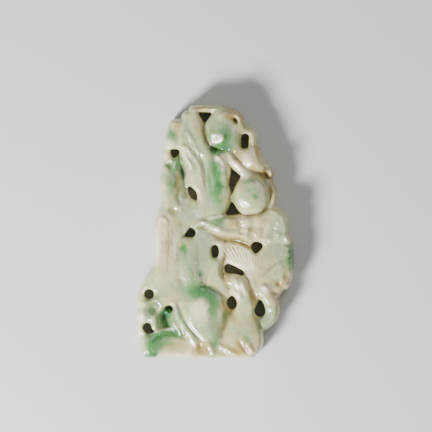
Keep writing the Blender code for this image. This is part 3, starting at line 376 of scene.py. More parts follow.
# Fan leaf: the point its ribs run from, and how far it reaches at each angle from straight up
FAN_ROOT = (16.5, 18.7)
FAN_ANGLES = [-50, -40, -28, -10, 10, 30, 50, 70, 90]
FAN_REACH = [17.5, 23.1, 25.2, 24.0, 22.2, 21.9, 18.4, 14.7, 11.2]
FAN_HEIGHT = 8.8
FAN_SWELL = 1.3
FAN_EDGE_SLOPE = 3.4
FAN_JOIN = 0.6

# How the leaf's face falls away on both sides of its middle angle, and more past its left fold,
# how its right half rises around one angle, and how it falls off past its first and last angle
FAN_MIDDLE = -5
FAN_FALL = 0.0003
FAN_LEFT_FOLD = -8
FAN_LEFT_FALL = 0.05
FAN_RISE = 0.5
FAN_RISE_ANGLE = 35
FAN_RISE_SPREAD = 22
FAN_FIRST = -40
FAN_LAST = 95
FAN_SIDE_FALL = 0.4

# Bands of fine cut lines that run along a route: half width of the band, distance between the
# lines, their depth, how far they wander, route
LINE_BANDS = {
    "plume": (3.4, 0.85, 0.15, 1, [(-9.8, 39.5), (-9.2, 33), (-7.6, 28), (-6, 22)]),
    "pod": (2.6, 0.72, 0.17, 0.1, [(0.5, 81.6), (0.6, 78), (0.8, 74.8)]),
    "column": (4.2, 1.7, 0.1, 0.8, [(-16.4, 48), (-16, 40), (-16.2, 31)]),
    "slope's shoulder": (2.6, 1.2, 0.08, 0.3, [(-17.6, 48), (-18, 42), (-17.8, 36)]),
    "left trunk": (2.6, 1.3, 0.12, 0.8, [(-10.4, 80), (-8.4, 73), (-5.4, 64), (-3.6, 55)]),
    "right trunk": (3, 1.2, 0.11, 0.7, [(1.5, 69), (2, 61), (0.8, 53)]),
    "old trunk": (2.4, 0.7, 0.07, 0.3, [(6.6, 28.4), (7.6, 24), (9.6, 17)]),
    "wing": (4.2, 0.85, 0.07, 0.3, [(-25, 0), (-21.4, 5), (-16.5, 7.2), (-11, 6), (-7, 2)]),
    "gourd's side": (3.8, 0.7, 0.05, 0.2, [(1, 18), (0.6, 12), (-1, 7)]),
    "long blade": (1.3, 0.7, 0.12, 0.1, [(-12.8, 16.6), (-10, 10.6), (-5.6, 5)]),
    "arm": (1.6, 1.2, 0.1, 0.2, [(13.3, 78.2), (14.1, 73.5), (15.6, 69)]),
    "top bar": (1.4, 0.7, 0.06, 0.2, [(-7.6, 87.2), (-2, 87.3), (2.6, 87.2)]),
}

# Fans of fine ribs: root, from and to which angle from straight up, from and to which distance,
# distance between ribs in degrees, their depth
RIB_FANS = {
    "leaf's left ribs": ((15.2, 20.4), -44, 7, 7.5, 22.6, 3.6, 0.26),
    "leaf's right ribs": ((15.6, 21.2), 9, 84, 6, 22, 4.2, 0.09),
    "folded leaf's ribs": ((-0.4, 20.6), -12, 34, 3, 14, 5.5, 0.1),
}

# Where the fan leaf comes out from under the cloud: x, and y
LEAF_TOP_X = [-2.0, 0.4, 2.7, 6.0, 8.8, 10.8, 12.9, 16.7, 22.0, 27.0]
LEAF_TOP_Y = [44.0, 41.8, 40.4, 39.8, 39.2, 38.0, 36.8, 38.2, 38.8, 38.0]

# Mottling of the stone, and in places painted light: olive, ochre, grey and the greens laid as
# painted shade, white as painted highlight. x, y, half widths, strength, and the turn in degrees
# where there is one
PATCHES_OF_COLOUR = {
    "pale green": [
        (0.8, 80.2, 5, 6.4, 0.8, 5), (-8, 77, 5, 7, 0.5, 10), (-6.4, 68, 4.4, 7, 0.6, 20),
        (0.4, 61, 3.6, 11, 0.9), (-2.6, 56, 3.6, 6, 0.5), (-18.2, 63, 1.8, 2.2, 0.9),
        (-17.2, 56.8, 1.6, 1.9, 0.8), (-18.2, 51.2, 1.6, 2.6, 0.7), (-14, 62, 4, 9, 0.5),
        (12.9, 57, 6.4, 6.8, 0.6), (0.9, 47.4, 3.8, 2.2, 0.9), (-4.6, 37, 4.6, 8, 0.8),
        (-9, 31, 4.4, 7, 0.5), (22, 37.6, 5.4, 5, 0.6), (22.6, 45, 3.6, 5.6, 0.6),
        (18.6, 13.4, 4.4, 6, 0.9), (-13.4, 15, 2.6, 3.8, 0.9, 20), (-20, 12.8, 3.6, 3.2, 0.7),
        (0.2, 7.6, 2.4, 4, 0.8), (10.8, 6.8, 2.6, 2.2, 0.8), (-3.1, 10.5, 5.6, 4.3, 0.88, 7),
        (-10.1, 22.9, 3.8, 3.8, 0.84), (-22, 5, 5.4, 5.4, 0.9), (-16, 76.4, 3, 3.6, 0.7),
        (-16, 11.6, 3, 2, 0.8), (20.4, 30, 5, 4, 0.3), (-21.3, 19.5, 2.6, 2.7, 0.93),
        (-12.6, 8.3, 2.6, 1.9, 0.96, -30), (5.3, 72.8, 2.5, 1.7, 0.92), (7.9, 76, 1.9, 3.2, 0.93),
        (-21.9, 1, 3.4, 1.7, 0.92), (-17.5, 4.9, 3.5, 1.8, 0.88), (-4.3, 20.6, 4, 2.6, 0.6, -15),
        (-2.2, 64, 1.8, 4.7, 0.8), (-10.8, 36, 2.2, 4, 0.6), (-15.2, 66.4, 2, 2, 0.5),
        (1, 19.4, 3, 3, 0.5), (-1.6, 78.4, 2.2, 4, 0.5), (1.6, 74.8, 3, 1, 0.7, 8),
        (-15.1, 10.1, 2.5, 1.5, 0.85), (3.4, 60.8, 1.4, 4, 0.6), (-4, 14, 8, 8, 0.3),
        (-10.2, 26, 2.4, 3.6, 0.5), (-17.3, 48.8, 2.2, 1.4, 0.5), (-4.6, 12.7, 3.6, 3.2, 0.5),
        (-22.8, 15.9, 2, 1.8, 0.9), (-19.9, 12.4, 2, 1.6, 0.6), (-20, 39.5, 1.8, 2.6, 0.2),
        (-22.8, 15.7, 2, 1.8, 0.9),
    ],
    "grey": [
        (-7.6, 49.6, 4.4, 3, 0.8), (6.6, 76.2, 2.8, 4, 0.8, 15), (-10.6, 57, 2.6, 5.6, 0.6),
        (-3, 41, 3.6, 4.4, 0.6), (22.8, 46.6, 3, 4, 0.5), (-5, 31, 3, 5, 0.5), (0.4, 11, 4, 3.6, 0.5),
        (-9, 81, 3, 3.6, 0.4), (22.6, 36, 4, 4, 0.4), (-8, 44, 7, 2.6, 0.5), (-24, 13.6, 2, 3, 0.5),
        (-15, 10.9, 2.6, 1.4, 0.6), (-7.1, 45.3, 2.2, 1, 0.5), (22.3, 47, 2, 2, 0.4),
    ],
    "white": [
        (-5.2, 16.6, 3.6, 5.4, 0.9), (-16.2, 74.6, 2.4, 2.4, 0.9), (11.8, 68, 3.8, 2.6, 0.9, -38),
        (-19.6, 38, 2.4, 11, 0.7), (-17, 29, 4.6, 5, 0.4), (8.4, 34, 5, 4.6, 0.8),
        (8.6, 24, 3, 4.6, 0.7), (-26.2, 11, 1.6, 6, 0.8), (-10, 70.4, 1.4, 4.4, 0.7, 30),
        (2.1, 68.4, 1.6, 2.7, 0.94, 25), (7.8, 66.8, 4.4, 1.2, 0.7, -48), (26.8, 28.6, 1.2, 1.6, 0.9),
        (17.1, 23.8, 2.2, 2.2, 0.84), (-5.8, 57.2, 1.6, 3.6, 0.6, 20), (-6, 64, 2, 4, 0.4, 10),
        (-14, 0.8, 10, 1.2, 0.6), (18.6, 65, 2.2, 2.6, 0.6), (10.6, 45.6, 1.6, 3.6, 0.5),
        (-9.2, 1.6, 2.4, 1.4, 0.5), (13, 50.6, 8, 1.2, 0.3, 3), (-17.3, 48.7, 2.3, 1.3, 0.96),
        (2.4, 70.1, 1.6, 1.4, 0.6), (-4.6, 62, 1.2, 6, 0.4, 15), (18.6, 24.2, 1.8, 1.6, 0.5),
        (-12.7, 17.3, 1.2, 1.6, 0.6), (12.5, 30.6, 2.4, 2.4, 0.7), (13.4, 2.2, 1.4, 1.4, 0.5),
        (-9, 71.2, 1.2, 3.6, 0.6, 36), (-7, 68.6, 1, 2.6, 0.5, 30), (3.2, 39.8, 1.9, 1, 0.76, -6),
        (2.3, 34.6, 1.2, 2, 0.6), (4.5, 64.6, 1, 2.4, 0.6), (10.9, 62.2, 2, 1, 0.6, -20),
        (-17.3, 44.5, 1.8, 4, 0.6), (11.5, 27.4, 1.2, 1.8, 0.6), (-8.6, 72.8, 1.4, 2.2, 0.6, 36),
        (-15.8, 35.5, 2.2, 4, 0.6), (-19.7, 12, 1.6, 1.4, 0.4), (6.9, 35.4, 2.4, 3, 0.4),
        (-13.7, 41.1, 1.6, 3.4, 0.6), (12.2, 32.7, 1.8, 2, 0.6), (-20, 39.3, 1.6, 3, 0.5),
        (2, 69.6, 1.4, 1.4, 0.6), (-17.2, 48.9, 2, 1, 0.5),
    ],
    "olive": [
        (7.4, 85, 5, 3.2, 1, -38), (-14.9, 60, 2, 3.8, 0.9), (-13.8, 66.2, 2.4, 2.4, 0.4),
        (0.6, 23, 3.4, 1.7, 0.9, -24), (4, 14.6, 1.8, 3.2, 0.8, 12), (-23.9, 19.6, 1.2, 1.1, 0.9),
        (-3.4, 77.6, 0.8, 5, 0.9, 4), (17.6, 60.8, 2.4, 1.2, 0.7, -40), (18.4, 56.6, 1.2, 4.8, 0.5),
        (14.6, 64.9, 3.4, 0.9, 0.97, -28), (11.2, 80.8, 2.2, 1.6, 0.5, -40),
        (-16.4, 67.2, 1.4, 0.9, 0.9), (-7.6, 6.2, 2.4, 1.8, 0.5, -40), (22.6, 18, 1.3, 4.2, 0.7, -8),
        (20.8, 25.6, 3, 1.8, 0.6, -20), (-11.6, 46.2, 2, 1.6, 0.5), (-14.9, 51.9, 2.2, 1.4, 0.7),
        (-11, 42.2, 1.4, 1, 0.5), (14.6, 10.4, 1.6, 2, 0.4), (-12.8, 8, 2.9, 1.6, 0.75, -20),
        (24.6, 31, 2, 3, 0.4), (5.6, 48, 1.4, 3, 0.3), (5.6, 72.4, 2, 1.3, 0.6),
        (8.1, 75.7, 1.7, 2.9, 0.95), (0.6, 10.6, 2.6, 3.4, 0.75), (-17.8, 4.6, 3.3, 1.8, 0.64, 5),
        (-21.2, 19.1, 2.4, 2.4, 0.96), (1.2, 19.4, 2.2, 2.4, 0.5), (8.2, 70.4, 1.8, 1, 0.5, -45),
        (-7, 45.2, 2.2, 1.1, 0.97), (-7.8, 53.6, 2.3, 2.1, 0.64), (6.3, 55.8, 1.4, 2.5, 0.84),
        (23.3, 25.7, 2, 1.6, 0.97, -4), (18.3, 64.7, 1.4, 1.8, 0.96), (-15.4, 66.4, 1.8, 1.8, 0.4),
        (6.8, 15.2, 1.6, 3, 0.4, 10), (11.1, 39.1, 2.4, 1, 0.91, -30), (4.8, 73, 2.2, 1.2, 0.5),
        (7.2, 71.6, 1.5, 1.4, 0.98, -14), (-2.4, 44.9, 2.4, 0.9, 0.7, -20), (3.4, 60.8, 1.2, 3.6, 0.5),
        (-1.6, 77.8, 1.7, 3.7, 0.7), (9.9, 68.6, 1.6, 0.9, 0.64, -40), (-10.2, 26, 2, 3.4, 0.3),
        (-17.2, 14.4, 2.6, 4.2, 0.6, -16), (15, 20.8, 1.4, 2.4, 0.5), (8.7, 40.8, 2.6, 0.9, 0.5, -12),
        (3.4, 18.6, 2, 2.4, 0.6), (19.9, 60.3, 1.4, 2.6, 0.5), (-14.4, 9, 2.8, 1.1, 0.7),
        (25.6, 28.6, 1.4, 2, 0.6), (4.5, 27.8, 1.4, 1.8, 0.6), (-12, 7.2, 2.4, 1.4, 0.4, -30),
        (17.2, 64.8, 1.6, 1.2, 0.5, -30), (19.9, 63.4, 1.4, 1.2, 0.8), (15, 65.6, 1.8, 1, 0.5, -30),
        (19.9, 64.9, 1.7, 1.8, 0.7), (-4.6, 12.7, 3, 3, 0.25), (18.1, 10.6, 1.8, 1.4, 0.6),
        (22.3, 47, 1.8, 1.8, 0.5), (17.4, 13.4, 1.8, 2, 0.5), (-7.1, 9.2, 1.4, 1.4, 0.3),
        (-2.9, 45.6, 2.2, 1, 0.5), (-21.8, 19.9, 1.4, 1, 0.6), (-10.6, 9.2, 1.2, 1.6, 0.5, 30),
    ],
    "ochre": [
        (9.2, 83.4, 4.4, 2.2, 0.55, -45), (5.8, 83.6, 1.4, 2.4, 0.8), (4.4, 87.2, 1.4, 1, 0.6),
        (-6, 87.4, 3, 0.9, 0.5), (-5.4, 80.6, 2, 5.4, 0.45, 8), (14.8, 72.8, 1.1, 2, 0.9, 15),
        (17, 70.2, 1.4, 3.6, 0.5, 28), (14.5, 65.1, 3.4, 1, 0.9, -29), (20.2, 57.4, 1.4, 5.6, 0.5),
        (5.9, 46.8, 2.5, 1.9, 0.82, 6), (7.6, 41.6, 4.2, 1.1, 0.7, -6), (11.4, 39.2, 2.4, 1.3, 1, -32),
        (3, 28.6, 1, 3, 0.7), (12.6, 24.4, 0.7, 4, 0.7, 14), (13.7, 19.8, 0.9, 2.8, 0.8, 8),
        (22.4, 26, 0.9, 0.8, 0.95), (25.6, 27.6, 1, 1.2, 0.8), (22.9, 17.6, 1, 4, 0.7, -8),
        (3.6, 16.6, 1, 2.6, 0.6, 18), (3.6, 10.4, 1.1, 2.8, 0.6, 20), (-4.5, 3.7, 2.2, 2, 0.82),
        (-5.8, 1, 3, 1.2, 0.6), (7, 2.4, 3, 1, 0.7, -8), (8.6, 4.8, 2, 1.2, 0.6, -20),
        (-14.6, 4.2, 4.8, 2.2, 0.5, 5), (13.8, 14, 1.6, 1.6, 0.6), (-20.4, 30.4, 3, 3, 0.35, 20),
        (20.6, 62.8, 1.2, 1.8, 0.4), (-12.7, 60.4, 0.7, 2.8, 0.8), (11.6, 49.8, 5, 0.8, 0.6, 3),
        (13.2, 44.8, 0.9, 1.4, 0.5), (-15.4, 37, 1.2, 6, 0.3), (-12.4, 81.4, 1.4, 1.2, 0.5),
        (-14.4, 51.4, 1.4, 0.9, 0.5), (-6.2, 7.6, 1.6, 1.6, 0.4), (4.4, 44, 3.4, 0.9, 0.4, -20),
        (17.6, 47, 0.8, 4, 0.3), (-10.8, 28, 1, 5, 0.25, 10), (10, 2.5, 3.3, 1.6, 0.98),
        (-3.7, 2.7, 3.5, 2.4, 0.88), (8, 70.5, 2, 1.2, 0.5, -45), (4.9, 26.6, 1.7, 2.1, 0.88),
        (6.6, 14.8, 2, 3.4, 0.45, 10), (8.7, 40.7, 2.8, 0.9, 0.6, -12),
        (17.8, 64.7, 1.4, 1.5, 0.94, -12), (23.3, 25.6, 2, 1.5, 0.98, -4), (10.4, 12.4, 3.6, 4.4, 0.35),
        (-18, 36, 3, 10, 0.22), (6, 6, 7, 4, 0.3), (3.8, 42.1, 3, 0.9, 0.6, -15),
        (-4.1, 86.7, 3.1, 1.1, 0.88), (7.6, 84.8, 2.7, 1.6, 0.98, -38), (19.9, 60.3, 1.2, 2.5, 0.8),
        (26.2, 25.7, 1.2, 1.6, 0.5), (3.6, 18.4, 1.2, 2.2, 0.5), (17.6, 63.6, 2.4, 1.4, 0.5, -35),
        (7, 71.7, 1.3, 1.3, 0.91, -7), (19.9, 63.4, 1.4, 1.2, 0.6), (10.6, 67.8, 1.4, 0.9, 0.3, -40),
        (19.9, 64.9, 1.6, 1.8, 0.5), (9.4, 4.4, 2.6, 2.4, 0.5), (9.9, 68.6, 1.4, 0.9, 0.4, -40),
        (15, 21.1, 1.2, 2, 0.3), (17.8, 64.9, 3.2, 1.4, 0.4, -30), (3.4, 0.8, 3, 0.9, 0.4),
    ],
    "emerald": [
        (-5.4, 23.8, 3.2, 2.6, 1), (-1.8, 22, 3, 2.6, 0.95, -20), (-1, 18.6, 2.2, 3.8, 0.75, 10),
        (-0.8, 14.6, 1.8, 3.2, 0.5), (-9.2, 24.8, 2.2, 2.8, 0.6, 8), (-8.4, 21.4, 1.8, 1.8, 0.5),
        (-21.9, 5, 2.8, 3.2, 0.95, -10), (-22.2, 1.9, 2, 2.4, 0.85), (-19.6, 7.6, 3.2, 1.6, 0.95, 20),
        (-16, 7.8, 4.4, 1.5, 0.9, 4), (-13, 8.1, 2.2, 1.3, 0.97, -28), (-17.4, 14, 2.4, 4.4, 0.75, -16),
        (-10, 11.4, 1, 4.6, 0.75, 40), (-10.9, 37.7, 1.6, 2, 1), (0.6, 72.6, 3.4, 1.8, 0.85, 4),
        (4.2, 76.8, 2.2, 3.6, 0.9, 10), (3, 74.2, 3.4, 1.4, 0.95, 12), (3.6, 80.2, 1.6, 2.6, 0.55, 5),
        (0.6, 79, 3, 1.4, 0.5), (0.4, 66.4, 1.8, 3.4, 0.85, 8), (1.3, 61.2, 1.6, 4, 1),
        (1.4, 55.2, 2.2, 2.6, 0.75), (-1, 57.8, 1.6, 2.6, 0.65), (-2, 62, 1, 3, 0.5),
        (1.2, 48, 2.4, 1.4, 0.6), (-15.9, 77.8, 2, 2.2, 0.9, -30), (-12.9, 68.4, 2.4, 3, 0.85),
        (-15, 60.4, 1.8, 3.4, 0.65), (27, 34.6, 2, 5.6, 1), (11.9, 61.3, 2, 0.7, 0.6, 5),
        (14, 56.4, 1.4, 1.3, 0.8, 30), (12.2, 58.6, 0.9, 0.7, 0.5), (18, 11.4, 2.4, 2, 0.5),
        (-18.8, 18.6, 1.8, 1.4, 0.5), (0.2, 6.2, 1.4, 2.8, 0.6), (10.8, 6.9, 1.6, 1.3, 0.45),
        (-24, 19.4, 1, 0.9, 0.5), (-23.2, 13.6, 2, 1.2, 0.4), (-4.9, 29.2, 1.2, 1.2, 0.7),
        (-22.3, 0.9, 2.6, 1.3, 0.99), (-4.3, 21.5, 3.2, 1.9, 0.75, -12), (1.3, 59.4, 1.6, 3, 0.5),
        (-9.2, 23.2, 1.8, 2.2, 0.35), (-2.2, 63.9, 1.1, 3.7, 0.55), (1.9, 74.8, 2.6, 0.9, 0.83, 8),
        (-16.9, 15.6, 2, 2.2, 0.8), (4.6, 73.4, 2.2, 1.2, 0.77), (-17, 5.2, 3, 1.2, 0.35, 10),
        (-10.7, 36.2, 1.6, 3, 0.35), (1, 19.2, 1.8, 2.2, 0.4), (-7.6, 28.4, 0.9, 3, 0.5, 10),
        (-8, 71, 1.4, 3, 0.4, 25), (-16, 11.8, 2, 1.4, 0.5), (4, 14.6, 1.4, 2, 0.5),
        (-9.6, 17.6, 1, 3, 0.3, 30), (23.4, 33, 1.6, 3, 0.3), (-6.8, 65.6, 1.2, 3, 0.35, 15),
        (-13, 16.6, 1, 2.6, 0.5, 30), (1.6, 51.2, 1.6, 1.4, 0.4), (-14.5, 66.6, 2.5, 2.1, 0.64),
        (-15.1, 10.3, 2.4, 1.4, 0.3), (-17.9, 4.7, 3, 1.2, 0.3), (-14.4, 9, 3, 1.2, 0.5),
        (-1.5, 77.6, 1.6, 1.6, 0.4), (-21.1, 19, 2.2, 2, 0.3), (-10.6, 9.4, 1.2, 1.8, 0.5, 30),
        (-22.5, 0.8, 2.2, 1.1, 0.6),
    ],
    "deep green": [
        (-1, 22.6, 2.4, 1, 0.6, -25), (0.4, 72.3, 2.2, 1, 0.15, 4), (3.6, 74.6, 1.6, 0.8, 0.7, 20),
        (-1.6, 73.4, 0.8, 1.6, 0.7, -25), (-17.8, 13.6, 1.4, 2.6, 0.6, -12), (27.4, 36, 1.3, 2.6, 0.7),
        (27.4, 31.6, 1.2, 1.6, 0.4), (-11.2, 65, 1.2, 2.2, 0.8, 15), (1.2, 60.8, 0.9, 2, 0.5),
        (-13.4, 8.6, 1.4, 0.7, 0.5, -25), (-5, 24.4, 1.4, 1, 0.3), (-18.4, 8, 2.4, 0.7, 0.3, 10),
        (-16.9, 15.4, 1.9, 2.1, 0.88), (1.2, 59, 1, 2.2, 0.4), (4.4, 73.4, 2, 1.2, 0.91),
        (-22.2, 0.8, 2.3, 1, 0.83), (-4.6, 22.5, 1.8, 1, 0.3), (-14.4, 9, 2.3, 0.8, 0.86),
        (-22.5, 0.8, 2, 0.9, 0.5),
    ],
}

# Places that the brown residue and painted shade keep off, in the same form
FREE_OF_RESIDUE_AND_SHADE = [(17.9, 63.4, 2.2, 2, 0.85), (-22.4, 16, 2.4, 2.2, 0.8), (19.2, 59.6, 1.4, 3.4, 0.4)]

# How far the patches' edges wander in millimetres, how finely, and the seeds for x and y. How far
# past its half widths a patch reaches, and how fast it fades.
WARPS = ((1, 0.32, 5, 7), (0.4, 1.1, 6, 8))
PATCH_REACH = 1.45
PATCH_FADE = 1.5

# Brown residue and painted shade, darkening hollows and grooves: its share in fine hollows, in wide
# hollows and along the grooves, the depth in millimetres at which a hollow holds all of it, how wide
# the hollows are in steps over the mesh, how much of a groove it fills, and how much of it green stone keeps
# off
FINE_RESIDUE_AND_SHADE = 0.4
FINE_DEPTH = 0.25
FINE_STEPS = 12
WIDE_RESIDUE_AND_SHADE = 0.7
WIDE_DEPTH = 0.9
WIDE_STEPS = 60
GROOVE_RESIDUE_AND_SHADE = 0.35
GROOVE_DEEPEST = 1.4
GROOVE_FILLED = 0.9
GREEN_KEEPS_OFF = 0.6

# White of rubbed crests, also a painted highlight: the height in millimetres that is all white,
# where it starts, and the white of the light ridges
CREST_HEIGHT = 0.2
CREST_START = 0.15
RIDGE_WHITE_AND_HIGHLIGHT = 0.9

# How often the rough and the finished surface are rubbed smooth, how many cells of the rough
# mesh belong to the flat foot, and how steeply a place may face for fine work: from, and over
ROUGH_RUBS = 3
FINE_RUBS = 1
FOOT_CELLS = 0.3
FACING_FROM = 0.2
FACING_OVER = 0.5

# Faint waves of the hand polish: height in millimetres, fineness, seed. The lines' wander, and
# how far one seed's noise lies from the next.
WAVES = ((0.12, 0.33, 1), (0.06, 0.8, 2), (0.02, 1.7, 4))
WANDER_SCALE = 0.5
WANDER_SEED = 3
SEED_STEPS = (17.3, 5.1, 9.7)

# Fine lines: how fast a band of them comes up from its ends and its sides, how deep they are on
# average, how unevenly, and within which limits
BAND_END_FADE = 6
BAND_SIDE_FADE = 0.4
BAND_MEAN = 0.7
BAND_UNEVEN = 1.2
BAND_LIMITS = (0.1, 1.4)

# Ribs: how far they wander in degrees, over which angle, length and distance below the cloud they
# come up, how sharp they are and how unevenly deep
RIB_WANDER = 0.5
RIB_FADE_ANGLE = 14
RIB_FADE_LENGTH = 2.5
RIB_FADE_TOP = 1.2
RIB_SHARPNESS = 1.5
RIB_UNEVEN = 0.5

# Stone's noises: scale, detail, roughness
NOISES = {
    "coarse": (55, 4, 0.55),
    "veins": (160, 6, 0.65),
    "grain": (330, 7, 0.6),
    "fine": (1500, 4, 0.6),
}

# Layers over the cream, from below: colour, noise, the noise's value where the colour starts and
# where it is fullest, and its share there
LAYERS = (
    ("sand", "coarse", 0.42, 0.68, 0.6),
    ("pale_green", "veins", 0.44, 0.66, 0.75),
    ("white", "grain", 0.50, 0.72, 0.55),
    ("white", "fine", 0.50, 0.74, 0.32),
)
PATCH_ORDER = ("pale green", "grey", "white", "olive", "ochre", "emerald", "deep green")
PATCH_RAGGED = 0.42
PATCH_RAMP = (-0.02, 1.04)
# Share of the crest white, rubbed wear and painted highlight together, and where the brown residue and
# painted shade start and how much there is at most
CREST_WHITE_AND_HIGHLIGHT = 0.6
RESIDUE_AND_SHADE_START = 0.08
RESIDUE_AND_SHADE_MOST = 0.85

# Polish and body of the stone: how the grain changes its dullness, its refraction, how far each
# colour of light sinks in and how deep, in metres, and the depth of its tiny pits
GRAIN_RAMP = (0.3, 0.7)
DULLNESS_SPREAD = (-0.05, 0.08)
REFRACTION = 1.66
SINKING_LIGHT = (1, 0.9, 0.6)
SINKING_DEPTH = 0.0016
PIT_STRENGTH = 0.5
PIT_DEPTH = 0.0003

# Lights: name, place, width of the softbox
LIGHTS = (
    ("key", (-0.38, -0.40, 0.36), 0.16),
    ("fill", (0.45, 0.50, 0.60), 0.60),
)
SKY_COLOUR = (1, 0.99, 0.97, 1)

# Table: half its width, and how far it lies below the stone
TABLE_HALF = 2
TABLE_GAP = 0.0002

# Camera: the picture is 432 pixels wide and one pixel is 0.35 mm at the carving's middle height.
# The carving's middle lies this far from the picture's middle, in pixels.
FRAME_PIXELS = 432
PIXEL = 0.00035
MIDDLE_X = -1.25
MIDDLE_Y = -14.75
MIDDLE_HEIGHT = 0.009
SENSOR = 36



def length_prop(name, description, default, least=0.0001):
    return FloatProperty(name=name, description=description, default=default, min=least, unit="LENGTH")


def colour_prop(name, description, default):
    return FloatVectorProperty(name=name, description=description, default=default, size=3, subtype="COLOR")


def share_prop(name, description, default):
    return FloatProperty(name=name, description=description, default=default, min=0, max=1)


def power_prop(name, description, default):
    return FloatProperty(name=name, description=description, default=default, min=0)


class StoneSizes(bpy.types.PropertyGroup):
    """Sizes of the carved stone"""

    front_round: length_prop("Front rounding", "Width of the rounded front edge", 0.0018)
    back_round: length_prop("Back rounding", "Width of the rounded back edge", 0.0016)
    hole_round: length_prop("Hole rounding", "Width of a hole's rounded edge", 0.0010)
    foot_bevel: length_prop("Foot bevel", "Bevel of the flat foot", 0.0006)
    edge_wall: length_prop("Edge wall", "Straight part of the outer edge", 0.0014)
    ground: length_prop("Ground", "Stone under the lowest open ground", 0.0054, 0.001)
    thinnest: length_prop("Thinnest", "Stone under the deepest hollow", 0.0026, 0.001)
    rough_cell: length_prop("Rough cell", "Fineness of the rough cut", 0.00036)
    fine_cell: length_prop("Fine cell", "Fineness of the finished surface", 0.00025)
    triangles: IntProperty(
        name="Triangles", description="Most triangles in the finished carving", default=192000, min=1000
    )


class StoneColours(bpy.types.PropertyGroup):
    """Colours and polish of the stone"""

    cream: colour_prop("Cream", "Main stone", (0.59, 0.55, 0.28))
    sand: colour_prop("Sand", "Cloudy veins", (0.50, 0.42, 0.20))
    # Grey, olive and the greens are also laid as painted shade in places, white as painted highlight, and
    # ochre is russet skin and painted shade
    grey: colour_prop("Grey", "Cool clouds", (0.40, 0.43, 0.32))
    white: colour_prop("White", "Milky clouds", (0.86, 0.78, 0.53))
    pale_green: colour_prop("Pale green", "Washed green", (0.31, 0.43, 0.23))
    emerald: colour_prop("Emerald", "Green patches", (0.07, 0.25, 0.07))
    deep_green: colour_prop("Deep green", "Darkest green", (0.04, 0.14, 0.06))
    olive: colour_prop("Olive", "Yellow green", (0.24, 0.27, 0.11))
    ochre: colour_prop("Ochre", "Russet skin", (0.42, 0.30, 0.10))
    # Residue colour: brown residue in the cuts and painted shade in the hollows and grooves
    residue: colour_prop("Residue", "Old wax in the cuts", (0.20, 0.15, 0.06))
    roughness: share_prop("Roughness", "Dullness of the polish", 0.20)
    translucence: share_prop("Translucence", "Light that sinks in", 0.5)


class TableLook(bpy.types.PropertyGroup):
    """The table, the lights and the camera"""

    table: colour_prop("Table", "Colour of the table", (0.72, 0.71, 0.69))
    key: power_prop("Key light", "Power of the main light, in watts", 13.0)
    fill: power_prop("Fill light", "Power of the soft light, in watts", 3.0)
    sky: power_prop("Surroundings", "Brightness of the room", 0.19)
    camera_height: length_prop("Camera height", "Camera above the carving's middle", 0.9, 0.1)


def arc(start, end, bulge):
    """Points from start towards end along an arc that bulges to the left of the way, end left out."""
    (ax, ay), (bx, by) = start, end
    dx, dy = bx - ax, by - ay
    chord = math.hypot(dx, dy)
    count = max(2, int(chord / ARC_STEP))
    if abs(bulge) < 1e-6:
        return [(ax + dx * k / count, ay + dy * k / count) for k in range(count)]
    half = 2 * math.atan2(2 * abs(bulge), chord)
    radius = chord / (2 * math.sin(half))
    count = max(count, int(2 * half * radius / ARC_STEP))
    side = math.copysign(1, bulge)
    inward = side * radius * math.cos(half)
    cx = (ax + bx) / 2 + dy / chord * inward
    cy = (ay + by) / 2 - dx / chord * inward
    first = math.atan2(ay - cy, ax - cx)
    points = []
    for k in range(count):
        angle = first - side * 2 * half * k / count
        points.append((cx + radius * math.cos(angle), cy + radius * math.sin(angle)))
    return points


def closed_outline(corners):
    """The points of a closed outline of arcs."""
    points = []
    for (x, y, bulge), (next_x, next_y, _) in zip(corners, corners[1:] + corners[:1]):
        points += arc((x, y), (next_x, next_y), bulge)
    return np.array(points)


def smooth_route(points):
    """A smooth curve through a route's points, with what each point holds carried along."""
    given = np.array(points, float)
    ends = np.vstack([2 * given[0] - given[1], given, 2 * given[-1] - given[-2]])
    curve = []
    for before, here, there, after in zip(ends, ends[1:], ends[2:], ends[3:]):
        for k in range(ROUTE_STEPS):
            t = k / ROUTE_STEPS
            bend = 2 * before - 5 * here + 4 * there - after
            twist = 3 * here - before - 3 * there + after
            curve.append(0.5 * (2 * here + (there - before) * t + bend * t * t + twist * t ** 3))
    curve.append(given[-1])
    return np.array(curve)


def window(x, y, points, margin):
    """Which places lie near some points."""
    low, high = points[:, :2].min(0) - margin, points[:, :2].max(0) + margin
    return (x > low[0]) & (x < high[0]) & (y > low[1]) & (y < high[1])


def nearest_on(points, x, y):
    """Distance to a chain of points, and the place of the nearest point along it."""
    best = np.full(x.shape, 1e9)
    place = np.zeros(x.shape)
    for k, (a, b) in enumerate(zip(points[:-1], points[1:])):
        dx, dy = b[0] - a[0], b[1] - a[1]
        t = np.clip(((x - a[0]) * dx + (y - a[1]) * dy) / max(dx * dx + dy * dy, 1e-12), 0, 1)
        away = np.hypot(x - a[0] - t * dx, y - a[1] - t * dy)
        closer = away < best
        best = np.where(closer, away, best)
        place = np.where(closer, k + t, place)
    return best, place


def inside(points, x, y):
    """Which places lie inside a closed outline."""
    result = np.zeros(x.shape, bool)
    for (ax, ay), (bx, by) in zip(points, np.roll(points, -1, 0)):
        if ay == by:
            continue
        result ^= ((ay > y) != (by > y)) & (x < ax + (y - ay) * (bx - ax) / (by - ay))
    return result


def join(height, form, softness):
    """The higher of two forms, with a soft fillet where they meet."""
    near = np.maximum(softness - np.abs(height - form), 0) / softness
    return np.maximum(height, form) + near * near * softness / 4


